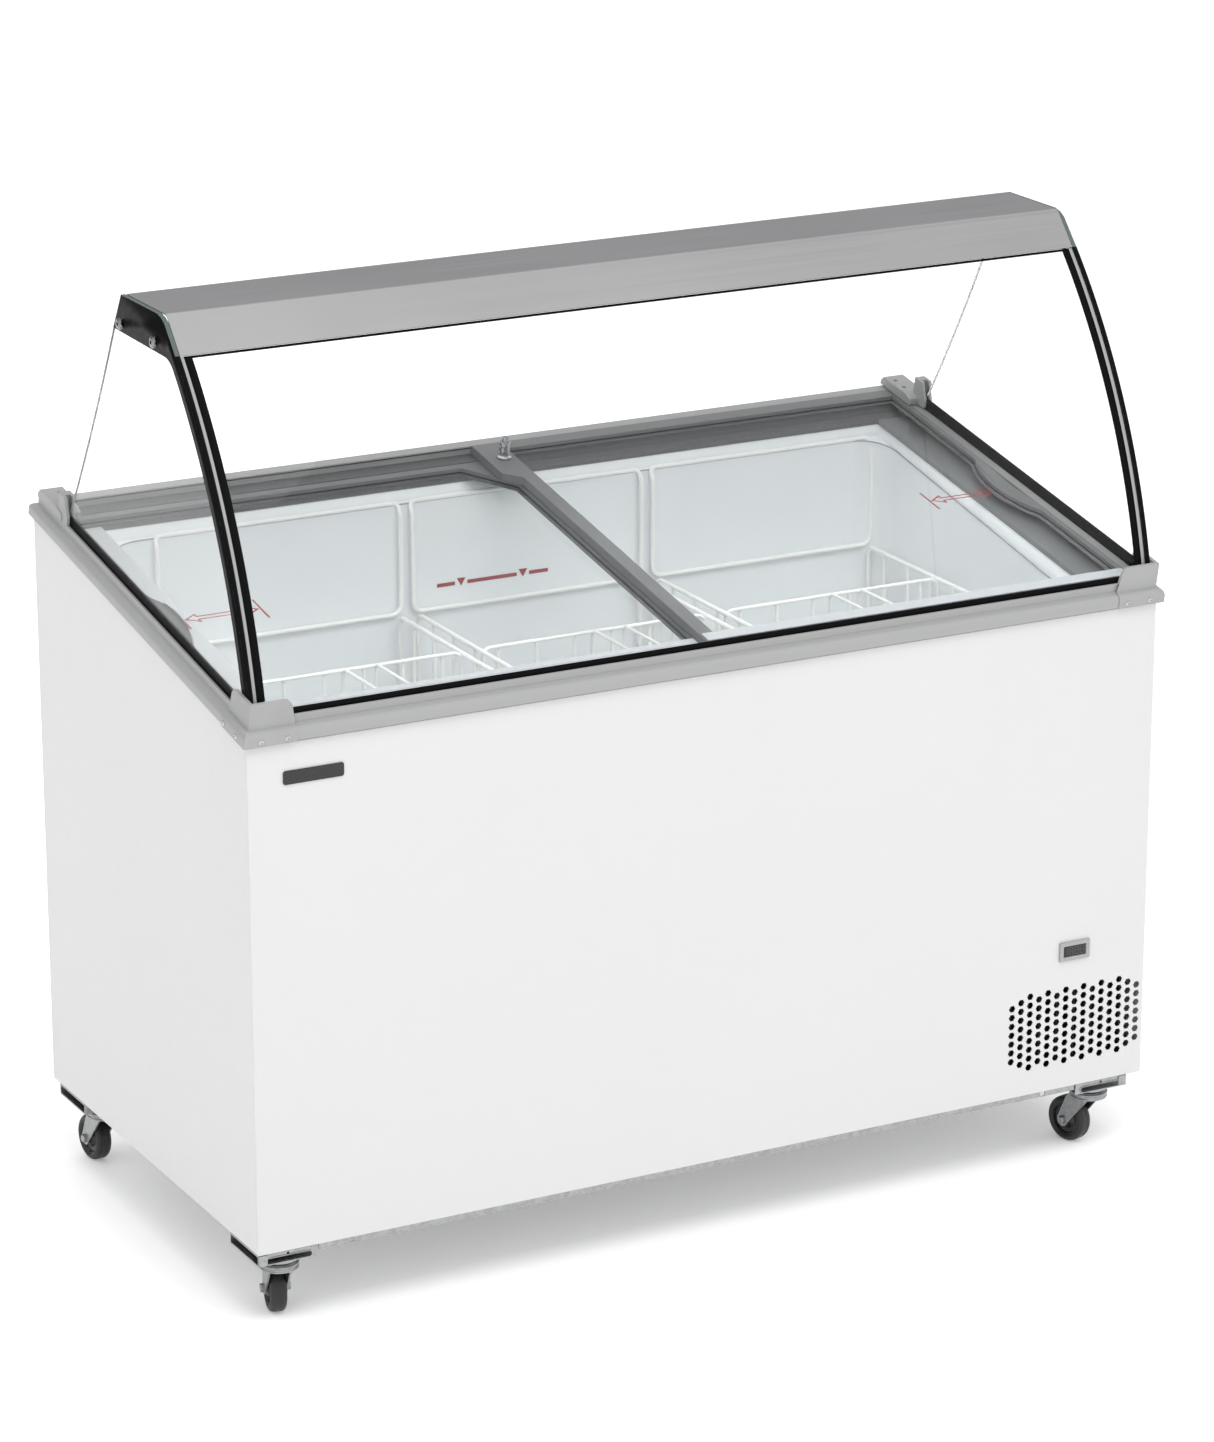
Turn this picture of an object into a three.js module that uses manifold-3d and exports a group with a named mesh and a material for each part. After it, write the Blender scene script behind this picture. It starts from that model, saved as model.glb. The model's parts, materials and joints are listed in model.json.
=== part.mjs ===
// Ice cream dipping cabinet: a chest freezer with a sloping top, two sliding glass lids,
// a curved sneeze guard, three lift-out baskets and four swivel casters.
// Millimetres, +Z up, the customers stand at -Y. The origin is on the floor under the middle.

import * as THREE from 'three';
import { mergeVertices } from 'three/addons/utils/BufferGeometryUtils.js';
import Module from 'manifold-3d';

const wasm = await Module();
wasm.setup();

// ---------------------------------------------------------------- driving dimensions

const WIDTH = 1290;
const DEPTH = 660;
const BODY_BOTTOM = 105;
const FRONT_HEIGHT = 653.4;
const SLOPE = THREE.MathUtils.degToRad(10.4);
const BACK_HEIGHT = FRONT_HEIGHT + DEPTH * Math.tan(SLOPE);
const SLOPE_LENGTH = DEPTH / Math.cos(SLOPE);
const SHEET = 1.2;
const GAP = 0.3;

// The tilted rim stands further out at the front than at the back, so the casing sits a little
// behind the middle of the whole outline.
const RIM_LEAN = 4.58;
const FRONT_Y = -(DEPTH - RIM_LEAN) / 2;
const REAR_Y = FRONT_Y + DEPTH;
const HALF = WIDTH / 2;

// Depths of the rim measured inward from the casing's face, and heights above its top plane.
const RAIL_OUT = 5.8;
const RAIL_IN = 25.5;
const RAIL_TOP = 33;
const RAIL_WEB = 14;
const FLANGE_TOP = 31;
const GROOVE_FLOOR = 22;
const WALL_THICKNESS = 3.2;
const UPPER_STEP = 49.8;
const OPENING = 68;
const UPPER_TRACK_TOP = 20.1;
const LOWER_TRACK_TOP = 7.1;

const SIDE_GLASS_OUT = 7.3;
const SIDE_GLASS = 6;
const STRIP_WIDTH = 5;
const STRIP_LIFT = 8;
const FRONT_GLASS = 5;
const GLASS_RADIUS = 850;
const GLASS_FOOT = { y: 1.9, z: 683 };
const GLASS_HEAD = { y: 200, z: 1086 };
const HOOD_TOP = 1129;
const HOOD_REAR = 360;
const HOOD_SHEET = 2;

const LID_CLEARANCE = 1.8;
const LID_THICKNESS = 11.8;
const LID_GLASS = 4;
const LID_LIP = 1.2;
const LOWER_LID = { left: -629.5, right: 0, stile: 15, centreStile: 12, rail: 12.5 };
const UPPER_LID = { left: -11, right: 617.7, stile: 8, centreStile: 20, rail: 21 };
const GRIP_Y = 318;
const GRIP_HALF = 85;
const GRIP_BULGE = 23;
const UPPER_GRIP_BULGE = 20;
const LOCK = { x: -9, y: 595 };
const PLUNGER_RADIUS = 4.5;

const LINER_WALL = 1.5;
const LINER_FLOOR = 180;
const LINER_STEP_FLOOR = 460;
const LINER_STEP_X = 345;
const LEDGE = 5.5;
const COMPARTMENT_X = 395;
const COMPARTMENT_TOP = 405;

const BASKET_X = [-334, 27, 388];
const BASKET_WIDTH = 350;
const BASKET_FRONT = 77;
const BASKET_REAR = 583;
const BASKET_FLOOR = 430;
const BASKET_RIM = 600;
const BASKET_WALL = 3;
const FRONT_HOOP_TOP = 645;
const REAR_HOOP_TOP = 750;
const WIRE = 5;
const HANGER_REACH = 9;

const CASTERS = [
  { name: 'front_left', x: -605, y: 28, yaw: -14 },
  { name: 'front_right', x: 583, y: 28, yaw: 15 },
  { name: 'rear_left', x: -605, y: 582, yaw: 5 },
  { name: 'rear_right', x: 583, y: 582, yaw: 8 },
];
const WHEEL_RADIUS = 31;
const WHEEL_WIDTH = 22;
const TRAIL = 33;
const AXLE_RADIUS = 4;
const MOUNT_BOTTOM = 90;
const FORK_TOP = 82.7;

const VENT = { columns: 15, x: 440, pitchX: 13.9, pitchZ: 12.44, z: 193.4, radius: 5.1 };
const THERMOMETER = { x: 533.6, z: 297.6, width: 46, height: 26 };
const CONTROL = { x: 545, z: 185, width: 150, height: 70, depth: 26 };

// ---------------------------------------------------------------- materials

const finish = (color, roughness, metalness = 0) =>
  new THREE.MeshStandardMaterial({ color, roughness, metalness });

const clear = (color) =>
  new THREE.MeshStandardMaterial({ color, roughness: 0.05, transparent: true, opacity: 0.3 });

const paint = finish(0xeeeeee, 0.35);
const galvanised = finish(0xb9bcbd, 0.45, 0.8);
const foam = finish(0xe8dcae, 0.95);
const lining = finish(0xcdd6dc, 0.35);
const railGrey = finish(0xa6a7a7, 0.45);
const trackGrey = finish(0x7c7e80, 0.5);
const glass = clear(0xf4fffd);
const aluminium = finish(0xc9cbcc, 0.3, 0.9);
const chrome = finish(0xe4e4e4, 0.12, 1);
const coatedWire = finish(0xe6e6dc, 0.4);
const black = finish(0x141414, 0.5);
const tyre = finish(0x1b1b1b, 0.7);
const bezelGrey = finish(0xd4d6d6, 0.5);
const copper = finish(0xb87348, 0.35, 1);

// ---------------------------------------------------------------- shape helpers

const cabinet = new THREE.Group();

// The sloping top: x across, y up the slope from the casing's front edge, z square to the slope.
const top = new THREE.Group();
top.position.set(0, FRONT_Y, BODY_BOTTOM + FRONT_HEIGHT);
top.rotation.x = SLOPE;
cabinet.add(top);

function part(name, geometry, material, parent = cabinet) {
  const mesh = new THREE.Mesh(geometry, material);
  mesh.name = name;
  parent.add(mesh);
  return mesh;
}

function block(low, high) {
  const geometry = new THREE.BoxGeometry(high[0] - low[0], high[1] - low[1], high[2] - low[2]);
  return geometry.translate(...low.map((value, i) => (value + high[i]) / 2));
}

function outline(points) {
  return new THREE.Shape(points.map(([a, b]) => new THREE.Vector2(a, b)));
}

function rectangle(a0, b0, a1, b1) {
  return outline([[a0, b0], [a1, b0], [a1, b1], [a0, b1]]);
}

function extrude(shape, length, segments = 8) {
  return new THREE.ExtrudeGeometry(shape, {
    depth: length,
    bevelEnabled: false,
    curveSegments: segments,
  });
}

const turned = new THREE.Matrix4().set(0, 0, 1, 0, 1, 0, 0, 0, 0, 1, 0, 0, 0, 0, 0, 1);

// An outline drawn in (y, z), extruded along x from x0 to x1.
function alongX(shape, x0, x1, segments) {
  return extrude(shape, x1 - x0, segments).applyMatrix4(turned).translate(x0, 0, 0);
}

// An outline drawn in (x, z), extruded from y0 back to y1.
function alongY(shape, y0, y1, segments) {
  return extrude(shape, y1 - y0, segments).rotateX(Math.PI / 2).translate(0, y1, 0);
}

// An outline drawn in (x, y), extruded up from z0 to z1.
function alongZ(shape, z0, z1, segments) {
  return extrude(shape, z1 - z0, segments).translate(0, 0, z0);
}

function lathe(profile, segments) {
  const points = profile.map(([radius, height]) => new THREE.Vector2(radius, height));
  return new THREE.LatheGeometry(points, segments).rotateX(Math.PI / 2);
}

function rod(radius, z0, z1, segments = 16) {
  return lathe([[0, z0], [radius, z0], [radius, z1], [0, z1]], segments);
}

function arcPoints(cx, cy, radius, fromDeg, toDeg, steps) {
  return Array.from({ length: steps + 1 }, (_, i) => {
    const angle = THREE.MathUtils.degToRad(fromDeg + ((toDeg - fromDeg) * i) / steps);
    return [cx + radius * Math.cos(angle), cy + radius * Math.sin(angle)];
  });
}

// ---------------------------------------------------------------- joining and cutting

function toSolid(geometry) {
  const bare = geometry.clone();
  bare.deleteAttribute('normal');
  bare.deleteAttribute('uv');
  const merged = mergeVertices(bare, 1e-4);
  return new wasm.Manifold(new wasm.Mesh({
    numProp: 3,
    vertProperties: new Float32Array(merged.attributes.position.array),
    triVerts: new Uint32Array(merged.index.array),
  }));
}

function toGeometry(solid) {
  const mesh = solid.getMesh();
  const geometry = new THREE.BufferGeometry();
  geometry.setAttribute('position', new THREE.BufferAttribute(mesh.vertProperties, 3));
  geometry.setIndex(new THREE.BufferAttribute(mesh.triVerts, 1));
  geometry.computeVertexNormals();
  return geometry;
}

function join(...geometries) {
  return toGeometry(geometries.map(toSolid).reduce((whole, next) => whole.add(next)));
}

function cut(body, ...tools) {
  return toGeometry(tools.map(toSolid).reduce((whole, next) => whole.subtract(next), toSolid(body)));
}

function common(body, ...tools) {
  return toGeometry(tools.map(toSolid).reduce((whole, next) => whole.intersect(next), toSolid(body)));
}

// The mirror image across x = 0, with each face turned back to point outward.
function mirrored(geometry) {
  const flipped = geometry.clone().scale(-1, 1, 1);
  const corners = flipped.index.array;
  for (let i = 0; i < corners.length; i += 3) {
    [corners[i + 1], corners[i + 2]] = [corners[i + 2], corners[i + 1]];
  }
  return flipped;
}

// ---------------------------------------------------------------- casing

// Height of the casing's top plane, lowered or raised square to the slope, at a depth y.
function topPlane(y, raise = 0) {
  return BODY_BOTTOM + FRONT_HEIGHT + (y - FRONT_Y) * Math.tan(SLOPE) + raise / Math.cos(SLOPE);
}

// The side view of everything under the top plane between two depths.
function sideView(y0, y1, z0, raise = 0) {
  return outline([[y0, z0], [y1, z0], [y1, topPlane(y1, raise)], [y0, topPlane(y0, raise)]]);
}

// Vent columns alternate nine and eight holes, and the two end columns have seven.
function ventCount(column) {
  if (column === 0 || column === VENT.columns - 1) return 7;
  return column % 2 === 0 ? 9 : 8;
}

function hexagon(x, z) {
  const corners = arcPoints(x, z, VENT.radius, 0, 300, 5);
  return new THREE.Path(corners.map(([a, b]) => new THREE.Vector2(a, b)));
}

function rectangleHole(x, z, width, height) {
  const corners = [[-1, -1], [1, -1], [1, 1], [-1, 1]];
  return new THREE.Path(
    corners.map(([a, b]) => new THREE.Vector2(x + (a * width) / 2, z + (b * height) / 2)),
  );
}

function frontPanel() {
  const face = rectangle(-HALF, BODY_BOTTOM, HALF, BODY_BOTTOM + FRONT_HEIGHT);
  for (let column = 0; column < VENT.columns; column += 1) {
    const count = ventCount(column);
    for (let row = 0; row < count; row += 1) {
      const z = VENT.z + (row - (count - 1) / 2) * VENT.pitchZ;
      face.holes.push(hexagon(VENT.x + column * VENT.pitchX, z));
    }
  }
  face.holes.push(rectangleHole(THERMOMETER.x, THERMOMETER.z, 42, 22));
  part('front_panel', alongY(face, FRONT_Y, FRONT_Y + SHEET), paint);
}

function rearPanel() {
  const face = rectangle(-HALF, BODY_BOTTOM, HALF, BODY_BOTTOM + BACK_HEIGHT);
  for (let slot = 0; slot < 8; slot += 1) {
    face.holes.push(rectangleHole(CONTROL.x - 20, 250 + slot * 16, 140, 6));
  }
  face.holes.push(rectangleHole(CONTROL.x, CONTROL.z, CONTROL.width, CONTROL.height));
  part('rear_panel', alongY(face, REAR_Y - SHEET, REAR_Y), paint);
}

function sidePanels() {
  const view = sideView(FRONT_Y + SHEET + GAP, REAR_Y - SHEET - GAP, BODY_BOTTOM);
  part('left_side_panel', alongX(view, -HALF, -HALF + SHEET), paint);
  part('right_side_panel', alongX(view, HALF - SHEET, HALF), paint);
}

// The base pan's front edge is turned down into the thin strip between the caster mounts.
function basePan() {
  const inset = SHEET + GAP;
  const pan = block(
    [-HALF + inset, FRONT_Y + inset, BODY_BOTTOM],
    [HALF - inset, REAR_Y - inset, BODY_BOTTOM + SHEET],
  );
  const strip = block(
    [-HALF + 82, FRONT_Y + inset, BODY_BOTTOM - 8],
    [542 - GAP, FRONT_Y + inset + SHEET, BODY_BOTTOM + SHEET],
  );
  const notches = [-518, 491.5].map((x) => block(
    [x - 3.5, FRONT_Y, BODY_BOTTOM - 7],
    [x + 3.5, FRONT_Y + 10, BODY_BOTTOM - 1],
  ));
  part('base_pan', cut(join(pan, strip), ...notches), galvanised);
}

// The space inside the liner, grown by a margin on every closed side and open at the top. Near
// the rim the front and rear walls step outward, which leaves ledges for the baskets to hang on.
function linerSpace(margin) {
  const wide = OPENING * Math.cos(SLOPE) - margin;
  const narrow = wide + LEDGE;
  const x = HALF - OPENING + margin;
  const high = BODY_BOTTOM + BACK_HEIGHT + 50;
  const frontLedge = BODY_BOTTOM + FRONT_HOOP_TOP - WIRE - GAP - margin;
  const rearLedge = BODY_BOTTOM + REAR_HOOP_TOP - WIRE - GAP - margin;
  return join(
    block([-x, FRONT_Y + narrow, LINER_FLOOR - margin], [LINER_STEP_X + margin, REAR_Y - narrow, high]),
    block([0, FRONT_Y + narrow, LINER_STEP_FLOOR - margin], [x, REAR_Y - narrow, high]),
    block([-x, FRONT_Y + wide, frontLedge], [x, 0, high]),
    block([-x, 0, rearLedge], [x, REAR_Y - wide, high]),
  );
}

function linerAndFoam() {
  const halfSpace = alongX(sideView(FRONT_Y, REAR_Y, 0, -GAP), -HALF, HALF);
  const shell = common(linerSpace(LINER_WALL), halfSpace);
  part('inner_liner', cut(shell, linerSpace(0)), lining);

  const inset = SHEET + GAP;
  const core = alongX(
    sideView(FRONT_Y + inset, REAR_Y - inset, BODY_BOTTOM + inset, -GAP),
    -HALF + inset,
    HALF - inset,
  );
  const compartment = block(
    [COMPARTMENT_X, FRONT_Y, BODY_BOTTOM],
    [HALF, REAR_Y, COMPARTMENT_TOP],
  );
  const coilPocket = block([-590, FRONT_Y + 50, 500], [590, REAR_Y - 50, 636]);
  part('insulation', cut(core, linerSpace(LINER_WALL + GAP), compartment, coilPocket), foam);
}

// Four turns of square tube round the liner, joined by one riser at the rear left corner.
function evaporatorCoil() {
  const tube = 7;
  const inner = { x: 579.5, y0: FRONT_Y + 70, y1: REAR_Y - 70 };
  const ring = rectangle(-inner.x - tube, inner.y0 - tube, inner.x + tube, inner.y1 + tube);
  ring.holes.push(new THREE.Path([
    new THREE.Vector2(-inner.x, inner.y0),
    new THREE.Vector2(inner.x, inner.y0),
    new THREE.Vector2(inner.x, inner.y1),
    new THREE.Vector2(-inner.x, inner.y1),
  ]));
  const turns = [508, 546, 584, 622].map((z) => alongZ(ring, z, z + tube));
  const riser = block(
    [-inner.x - tube, inner.y1, 508],
    [-inner.x, inner.y1 + tube, 622 + tube],
  );
  part('evaporator_coil', join(riser, ...turns), copper);
}

// ---------------------------------------------------------------- machine compartment

function compressor() {
  const floor = BODY_BOTTOM + SHEET + GAP;
  const dome = [
    [0, 18], [66, 18], [74, 30], [74, 100], ...arcPoints(26, 100, 48, 0, 90, 4).slice(1), [0, 148],
  ];
  const pot = lathe(dome, 24);
  const foot = block([-80, -60, 6], [80, 60, 20]);
  const pads = [[-65, -45], [65, -45], [-65, 45], [65, 45]].map(([x, y]) =>
    rod(12, 0, 8, 12).translate(x, y, 0));
  const terminal = block([66, -22, 60], [92, 22, 104]);
  const whole = join(pot, foot, terminal, ...pads).translate(525, 160, floor);
  part('compressor', whole, black);
}

// A comb of upright fins on a back plate, close behind the vent holes.
function condenser() {
  const floor = BODY_BOTTOM + SHEET + GAP;
  const fins = 20;
  const pitch = 9;
  const points = [[0, 28], [0, 0]];
  for (let fin = 0; fin < fins; fin += 1) {
    const x = fin * pitch;
    points.push([x + 2, 0], [x + 2, 20], [x + pitch, 20], [x + pitch, 0]);
  }
  points.push([fins * pitch + 2, 0], [fins * pitch + 2, 28]);
  const comb = outline(points.reverse());
  part('condenser', alongZ(comb, floor, floor + 150, 1).translate(446, FRONT_Y + 14, 0), black);
}

function fan() {
  const centre = { x: 537, y: FRONT_Y + 92, z: 190 };
  const motor = rod(26, 0, 34, 20).rotateX(-Math.PI / 2);
  const arm = block([-6, 12, -190 + BODY_BOTTOM + SHEET + GAP], [6, 24, 0]);
  const foot = block(
    [-30, 2, -190 + BODY_BOTTOM + SHEET + GAP],
    [30, 34, -190 + BODY_BOTTOM + SHEET + GAP + 4],
  );
  const shaft = rod(2.5, 0, 20, 10).rotateX(Math.PI / 2);
  const still = join(motor, arm, foot, shaft).translate(centre.x, centre.y, centre.z);
  part('fan_motor', still, black);

  const hub = cut(rod(16, 0, 14, 20), rod(2.8, -1, 12, 10));
  const blades = Array.from({ length: 5 }, (_, i) => {
    const blade = block([12, -15, -1], [66, 15, 1]);
    blade.rotateX(THREE.MathUtils.degToRad(22));
    return blade.translate(0, 0, 7).rotateZ((i * 2 * Math.PI) / 5);
  });
  const wheel = join(hub, ...blades).rotateX(Math.PI / 2);
  part('fan_blades', wheel.translate(centre.x, centre.y - 8, centre.z), trackGrey);
}

// A dish let into the rear panel, so that the knob and the inlet stay behind its face.
function controls() {
  const { x, z, width, height, depth } = CONTROL;
  const wall = 1.6;
  const w = width / 2 - GAP;
  const h = height / 2 - GAP;
  const dish = block([x - w, REAR_Y - depth, z - h], [x + w, REAR_Y - 0.2, z + h]);
  const inside = block(
    [x - w + wall, REAR_Y - depth + wall, z - h + wall],
    [x + w - wall, REAR_Y + 5, z + h - wall],
  );
  const knobHole = rod(3.4, -8, 8, 12).rotateX(Math.PI / 2).translate(x + 38, REAR_Y - depth, z);
  const inletHole = block([x - 58, REAR_Y - depth - 5, z - 14], [x - 8, REAR_Y - depth + 5, z + 14]);
  part('control_panel', cut(dish, inside, knobHole, inletHole), trackGrey);

  const grip = cut(
    rod(18, 0, 16, 24),
    block([-20, 4, 6], [20, 22, 20]),
    block([-20, -22, 6], [20, -4, 20]),
  );
  const knob = join(grip, rod(3, -8, 4, 12)).rotateX(-Math.PI / 2);
  part('thermostat_knob', knob.translate(x + 38, REAR_Y - depth + wall + GAP, z), black);

  const body = block([-24.5, -30, -13.5], [24.5, 0, 13.5]);
  const flange = block([-30, 0, -18], [30, 3, 18]);
  const socket = block([-18, -22, -8.5], [18, 8, 8.5]);
  const pins = [-10, 0, 10].map((px) => block([px - 1.2, -24, -3], [px + 1.2, -6, 3]));
  const inlet = join(cut(join(body, flange), socket), ...pins);
  part('power_inlet', inlet.translate(x - 33, REAR_Y - depth + wall + GAP, z), black);
}

// ---------------------------------------------------------------- front plates

function frontPlates() {
  const { x, z, width, height } = THERMOMETER;
  const face = FRONT_Y - GAP;
  const frame = rectangle(x - width / 2, z - height / 2, x + width / 2, z + height / 2);
  const body = block([x - 20.7, face - 1, z - 10.7], [x + 20.7, face + 14, z + 10.7]);
  const recess = block([x - 17.5, face - 5, z - 7.6], [x + 17.5, face + 8, z + 7.6]);
  part('thermometer_bezel', cut(join(alongY(frame, face - 3, face), body), recess), bezelGrey);
  const display = block([x - 17.2, face - 1.4, z - 7.3], [x + 17.2, face + 7.7, z + 7.3]);
  part('thermometer_display', display, black);

  const corner = 3;
  const plate = outline([
    ...arcPoints(-599 + corner, 706 + corner, corner, 180, 270, 3),
    ...arcPoints(-519 - corner, 706 + corner, corner, 270, 360, 3),
    ...arcPoints(-519 - corner, 723.4 - corner, corner, 0, 90, 3),
    ...arcPoints(-599 + corner, 723.4 - corner, corner, 90, 180, 3),
  ]);
  part('badge_plate', alongY(plate, face - 1.8, face), black);
}

// ---------------------------------------------------------------- rim rails

// Rim sections are drawn as (depth in from the casing's face, height above its top plane).
const noseCentre = { u: 2, h: 13 };

function noseArc(radius, steps) {
  return arcPoints(noseCentre.u, noseCentre.h, radius, 180, 90, steps);
}

function glazedRail(wall, groove) {
  return [
    [-RAIL_OUT, 4],
    ...noseArc(noseCentre.u + RAIL_OUT, 5),
    [wall, 22],
    [wall, RAIL_TOP],
    [wall + WALL_THICKNESS, RAIL_TOP],
    [wall + WALL_THICKNESS, GROOVE_FLOOR],
    [groove, GROOVE_FLOOR],
    [groove, FLANGE_TOP],
    [RAIL_IN, FLANGE_TOP],
    [RAIL_IN, UPPER_TRACK_TOP],
    [RAIL_WEB, UPPER_TRACK_TOP],
    [RAIL_WEB, GAP],
    [0.4, GAP],
  ];
}

function plainRail() {
  return [
    [-RAIL_OUT, 4],
    ...noseArc(noseCentre.u + RAIL_OUT, 5),
    [4.5, 22],
    [6.5, 29],
    [9, FLANGE_TOP],
    [RAIL_IN, FLANGE_TOP],
    [RAIL_IN, GAP],
    [0.4, GAP],
  ];
}

// A section swept along +x between two 45 degree mitres, its u running along +y.
function mitred(section, length) {
  const geometry = alongX(outline([...section].reverse()), -length / 2, length / 2);
  const position = geometry.attributes.position;
  for (let i = 0; i < position.count; i += 1) {
    const side = Math.sign(position.getX(i));
    position.setX(i, side * (length / 2 - position.getY(i) - GAP / 2));
  }
  return geometry;
}

function rails() {
  const side = glazedRail(3.5, 13.6);
  part('front_rail', mitred(glazedRail(5.8, 18.8), WIDTH), railGrey, top);
  part('rear_rail', mitred(plainRail(), WIDTH).rotateZ(Math.PI).translate(0, SLOPE_LENGTH, 0), railGrey, top);
  part('left_rail', mitred(side, SLOPE_LENGTH).rotateZ(-Math.PI / 2)
    .translate(-HALF, SLOPE_LENGTH / 2, 0), railGrey, top);
  part('right_rail', mitred(side, SLOPE_LENGTH).rotateZ(Math.PI / 2)
    .translate(HALF, SLOPE_LENGTH / 2, 0), railGrey, top);
}

// Two-level runners for the lids, front and rear, and flat trims down the two sides.
function tracks() {
  const section = outline([
    [RAIL_IN + GAP, GAP],
    [OPENING, GAP],
    [OPENING, LOWER_TRACK_TOP],
    [UPPER_STEP, LOWER_TRACK_TOP],
    [UPPER_STEP, UPPER_TRACK_TOP],
    [RAIL_IN + GAP, UPPER_TRACK_TOP],
  ]);
  const reach = HALF - RAIL_IN - GAP;
  const runner = alongX(section, -reach, reach);
  part('front_lid_track', runner, trackGrey, top);
  const back = runner.clone().rotateZ(Math.PI).translate(0, SLOPE_LENGTH, 0);
  part('rear_lid_track', back, trackGrey, top);

  const trim = block(
    [-HALF + RAIL_WEB + GAP, OPENING + GAP, GAP],
    [-HALF + OPENING, SLOPE_LENGTH - OPENING - GAP, LOWER_TRACK_TOP],
  );
  part('left_side_trim', trim, trackGrey, top);
  part('right_side_trim', trim.clone().translate(WIDTH - OPENING - RAIL_WEB - GAP, 0, 0), trackGrey, top);
}

// ---------------------------------------------------------------- corner caps and rear brackets

const CAP_ALONG_FRONT = 63;
const CAP_ALONG_SIDE = 60;
const EAR_TOP = 56;
const EAR_ROUND = 14;

function capLeg(length, along) {
  const outer = RAIL_OUT + 1.3;
  const section = [
    [-outer, 3],
    ...noseArc(noseCentre.u + outer, 5),
    [2.2, 24.2],
    [2.2, EAR_TOP],
    [6.9, EAR_TOP],
    [6.9, RAIL_TOP + GAP],
    [3.2, RAIL_TOP + GAP],
    [3.2, 22.3],
    ...noseArc(noseCentre.u + RAIL_OUT + GAP, 5).reverse(),
    [-RAIL_OUT - GAP, 3],
  ];
  const sweep = alongX(outline(section.reverse()), -20, length);
  const face = outline([
    [-20, 0],
    [length, 0],
    [length, 24],
    [length - 2, RAIL_TOP],
    ...arcPoints(length - 4 - EAR_ROUND, EAR_TOP + 1 - EAR_ROUND, EAR_ROUND, 0, 90, 4),
    [-20, EAR_TOP + 1],
  ]);
  const trimmed = common(sweep, alongY(face, -20, 20));
  return along === 'front' ? trimmed : mirrored(trimmed).rotateZ(-Math.PI / 2);
}

// Two legs meeting at a mitre over the casing's corner, which is at x = 0, y = 0.
function cornerCap() {
  const past = 100;
  const frontSide = outline([[-20, -20], [past, past], [past, -20]]);
  const leftSide = outline([[-20, -20], [-20, past], [past, past]]);
  const front = common(capLeg(CAP_ALONG_FRONT, 'front'), alongZ(frontSide, -1, 80));
  const side = common(capLeg(CAP_ALONG_SIDE, 'side'), alongZ(leftSide, -1, 80));
  return join(front, side);
}

function caps() {
  const cap = cornerCap();
  part('left_corner_cap', cap.clone().translate(-HALF, 0, 0), railGrey, top);
  part('right_corner_cap', mirrored(cap).translate(HALF, 0, 0), railGrey, top);
}

// A block on the rim's rear corner with a clip round the side glass's rear lower corner. Under
// its inner edge it is relieved, so that the upper lid passes below it.
function rearBracket() {
  const foot = alongX(outline([
    [586, RAIL_TOP + GAP],
    [664, RAIL_TOP + GAP],
    [664, 39],
    [657, 46],
    [600, 46],
    [586, 42],
  ]), 1, 32);
  const seat = block([14, 590, FLANGE_TOP + GAP], [25, 650, RAIL_TOP + 2]);
  const clip = block([2.6, 570, RAIL_TOP + GAP], [18, 600, 68]);
  const slot = block([6.9, 550, RAIL_TOP - 5], [13.7, 588.5, 100]);
  const slope = alongX(outline([[550, 44], [570, 44], [582, 70], [550, 70]]), 0, 20);
  const holes = [618, 642].map((y) => rod(3, 38, 50, 12).translate(22, y, 0));
  return cut(join(foot, seat, clip), slot, slope, ...holes);
}

function rearBrackets() {
  const bracket = rearBracket();
  part('left_rear_bracket', bracket.clone().translate(-HALF, 0, 0), railGrey, top);
  part('right_rear_bracket', mirrored(bracket).translate(HALF, 0, 0), railGrey, top);
}

// ---------------------------------------------------------------- canopy

// Canopy sections are drawn as (depth from the casing's front, height above its bottom).
function toCasing([s, h]) {
  return [
    s * Math.cos(SLOPE) - h * Math.sin(SLOPE),
    FRONT_HEIGHT + s * Math.sin(SLOPE) + h * Math.cos(SLOPE),
  ];
}

// The curved front: an arc from the glass's foot to its head, moved inward. It can start a little
// above the foot and run on past the head.
function frontArc(inward, steps, past = 0, lift = 0) {
  const dy = GLASS_HEAD.y - GLASS_FOOT.y;
  const dz = GLASS_HEAD.z - GLASS_FOOT.z;
  const chord = Math.hypot(dy, dz);
  const rise = Math.sqrt(GLASS_RADIUS ** 2 - (chord / 2) ** 2);
  const centreY = (GLASS_FOOT.y + GLASS_HEAD.y) / 2 + (rise * dz) / chord;
  const centreZ = (GLASS_FOOT.z + GLASS_HEAD.z) / 2 - (rise * dy) / chord;
  const angle = (y, z) => THREE.MathUtils.radToDeg(Math.atan2(z - centreZ, y - centreY));
  const foot = angle(GLASS_FOOT.y, GLASS_FOOT.z) - THREE.MathUtils.radToDeg(lift / GLASS_RADIUS);
  const head = angle(GLASS_HEAD.y, GLASS_HEAD.z) - THREE.MathUtils.radToDeg(past / GLASS_RADIUS);
  return arcPoints(centreY, centreZ, GLASS_RADIUS - inward, foot, head, steps);
}

const inCanopy = (geometry) => geometry.translate(0, FRONT_Y, BODY_BOTTOM);

function band(outerPoints, innerPoints, x0, x1) {
  return alongX(outline([...outerPoints, ...[...innerPoints].reverse()].reverse()), x0, x1);
}

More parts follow.
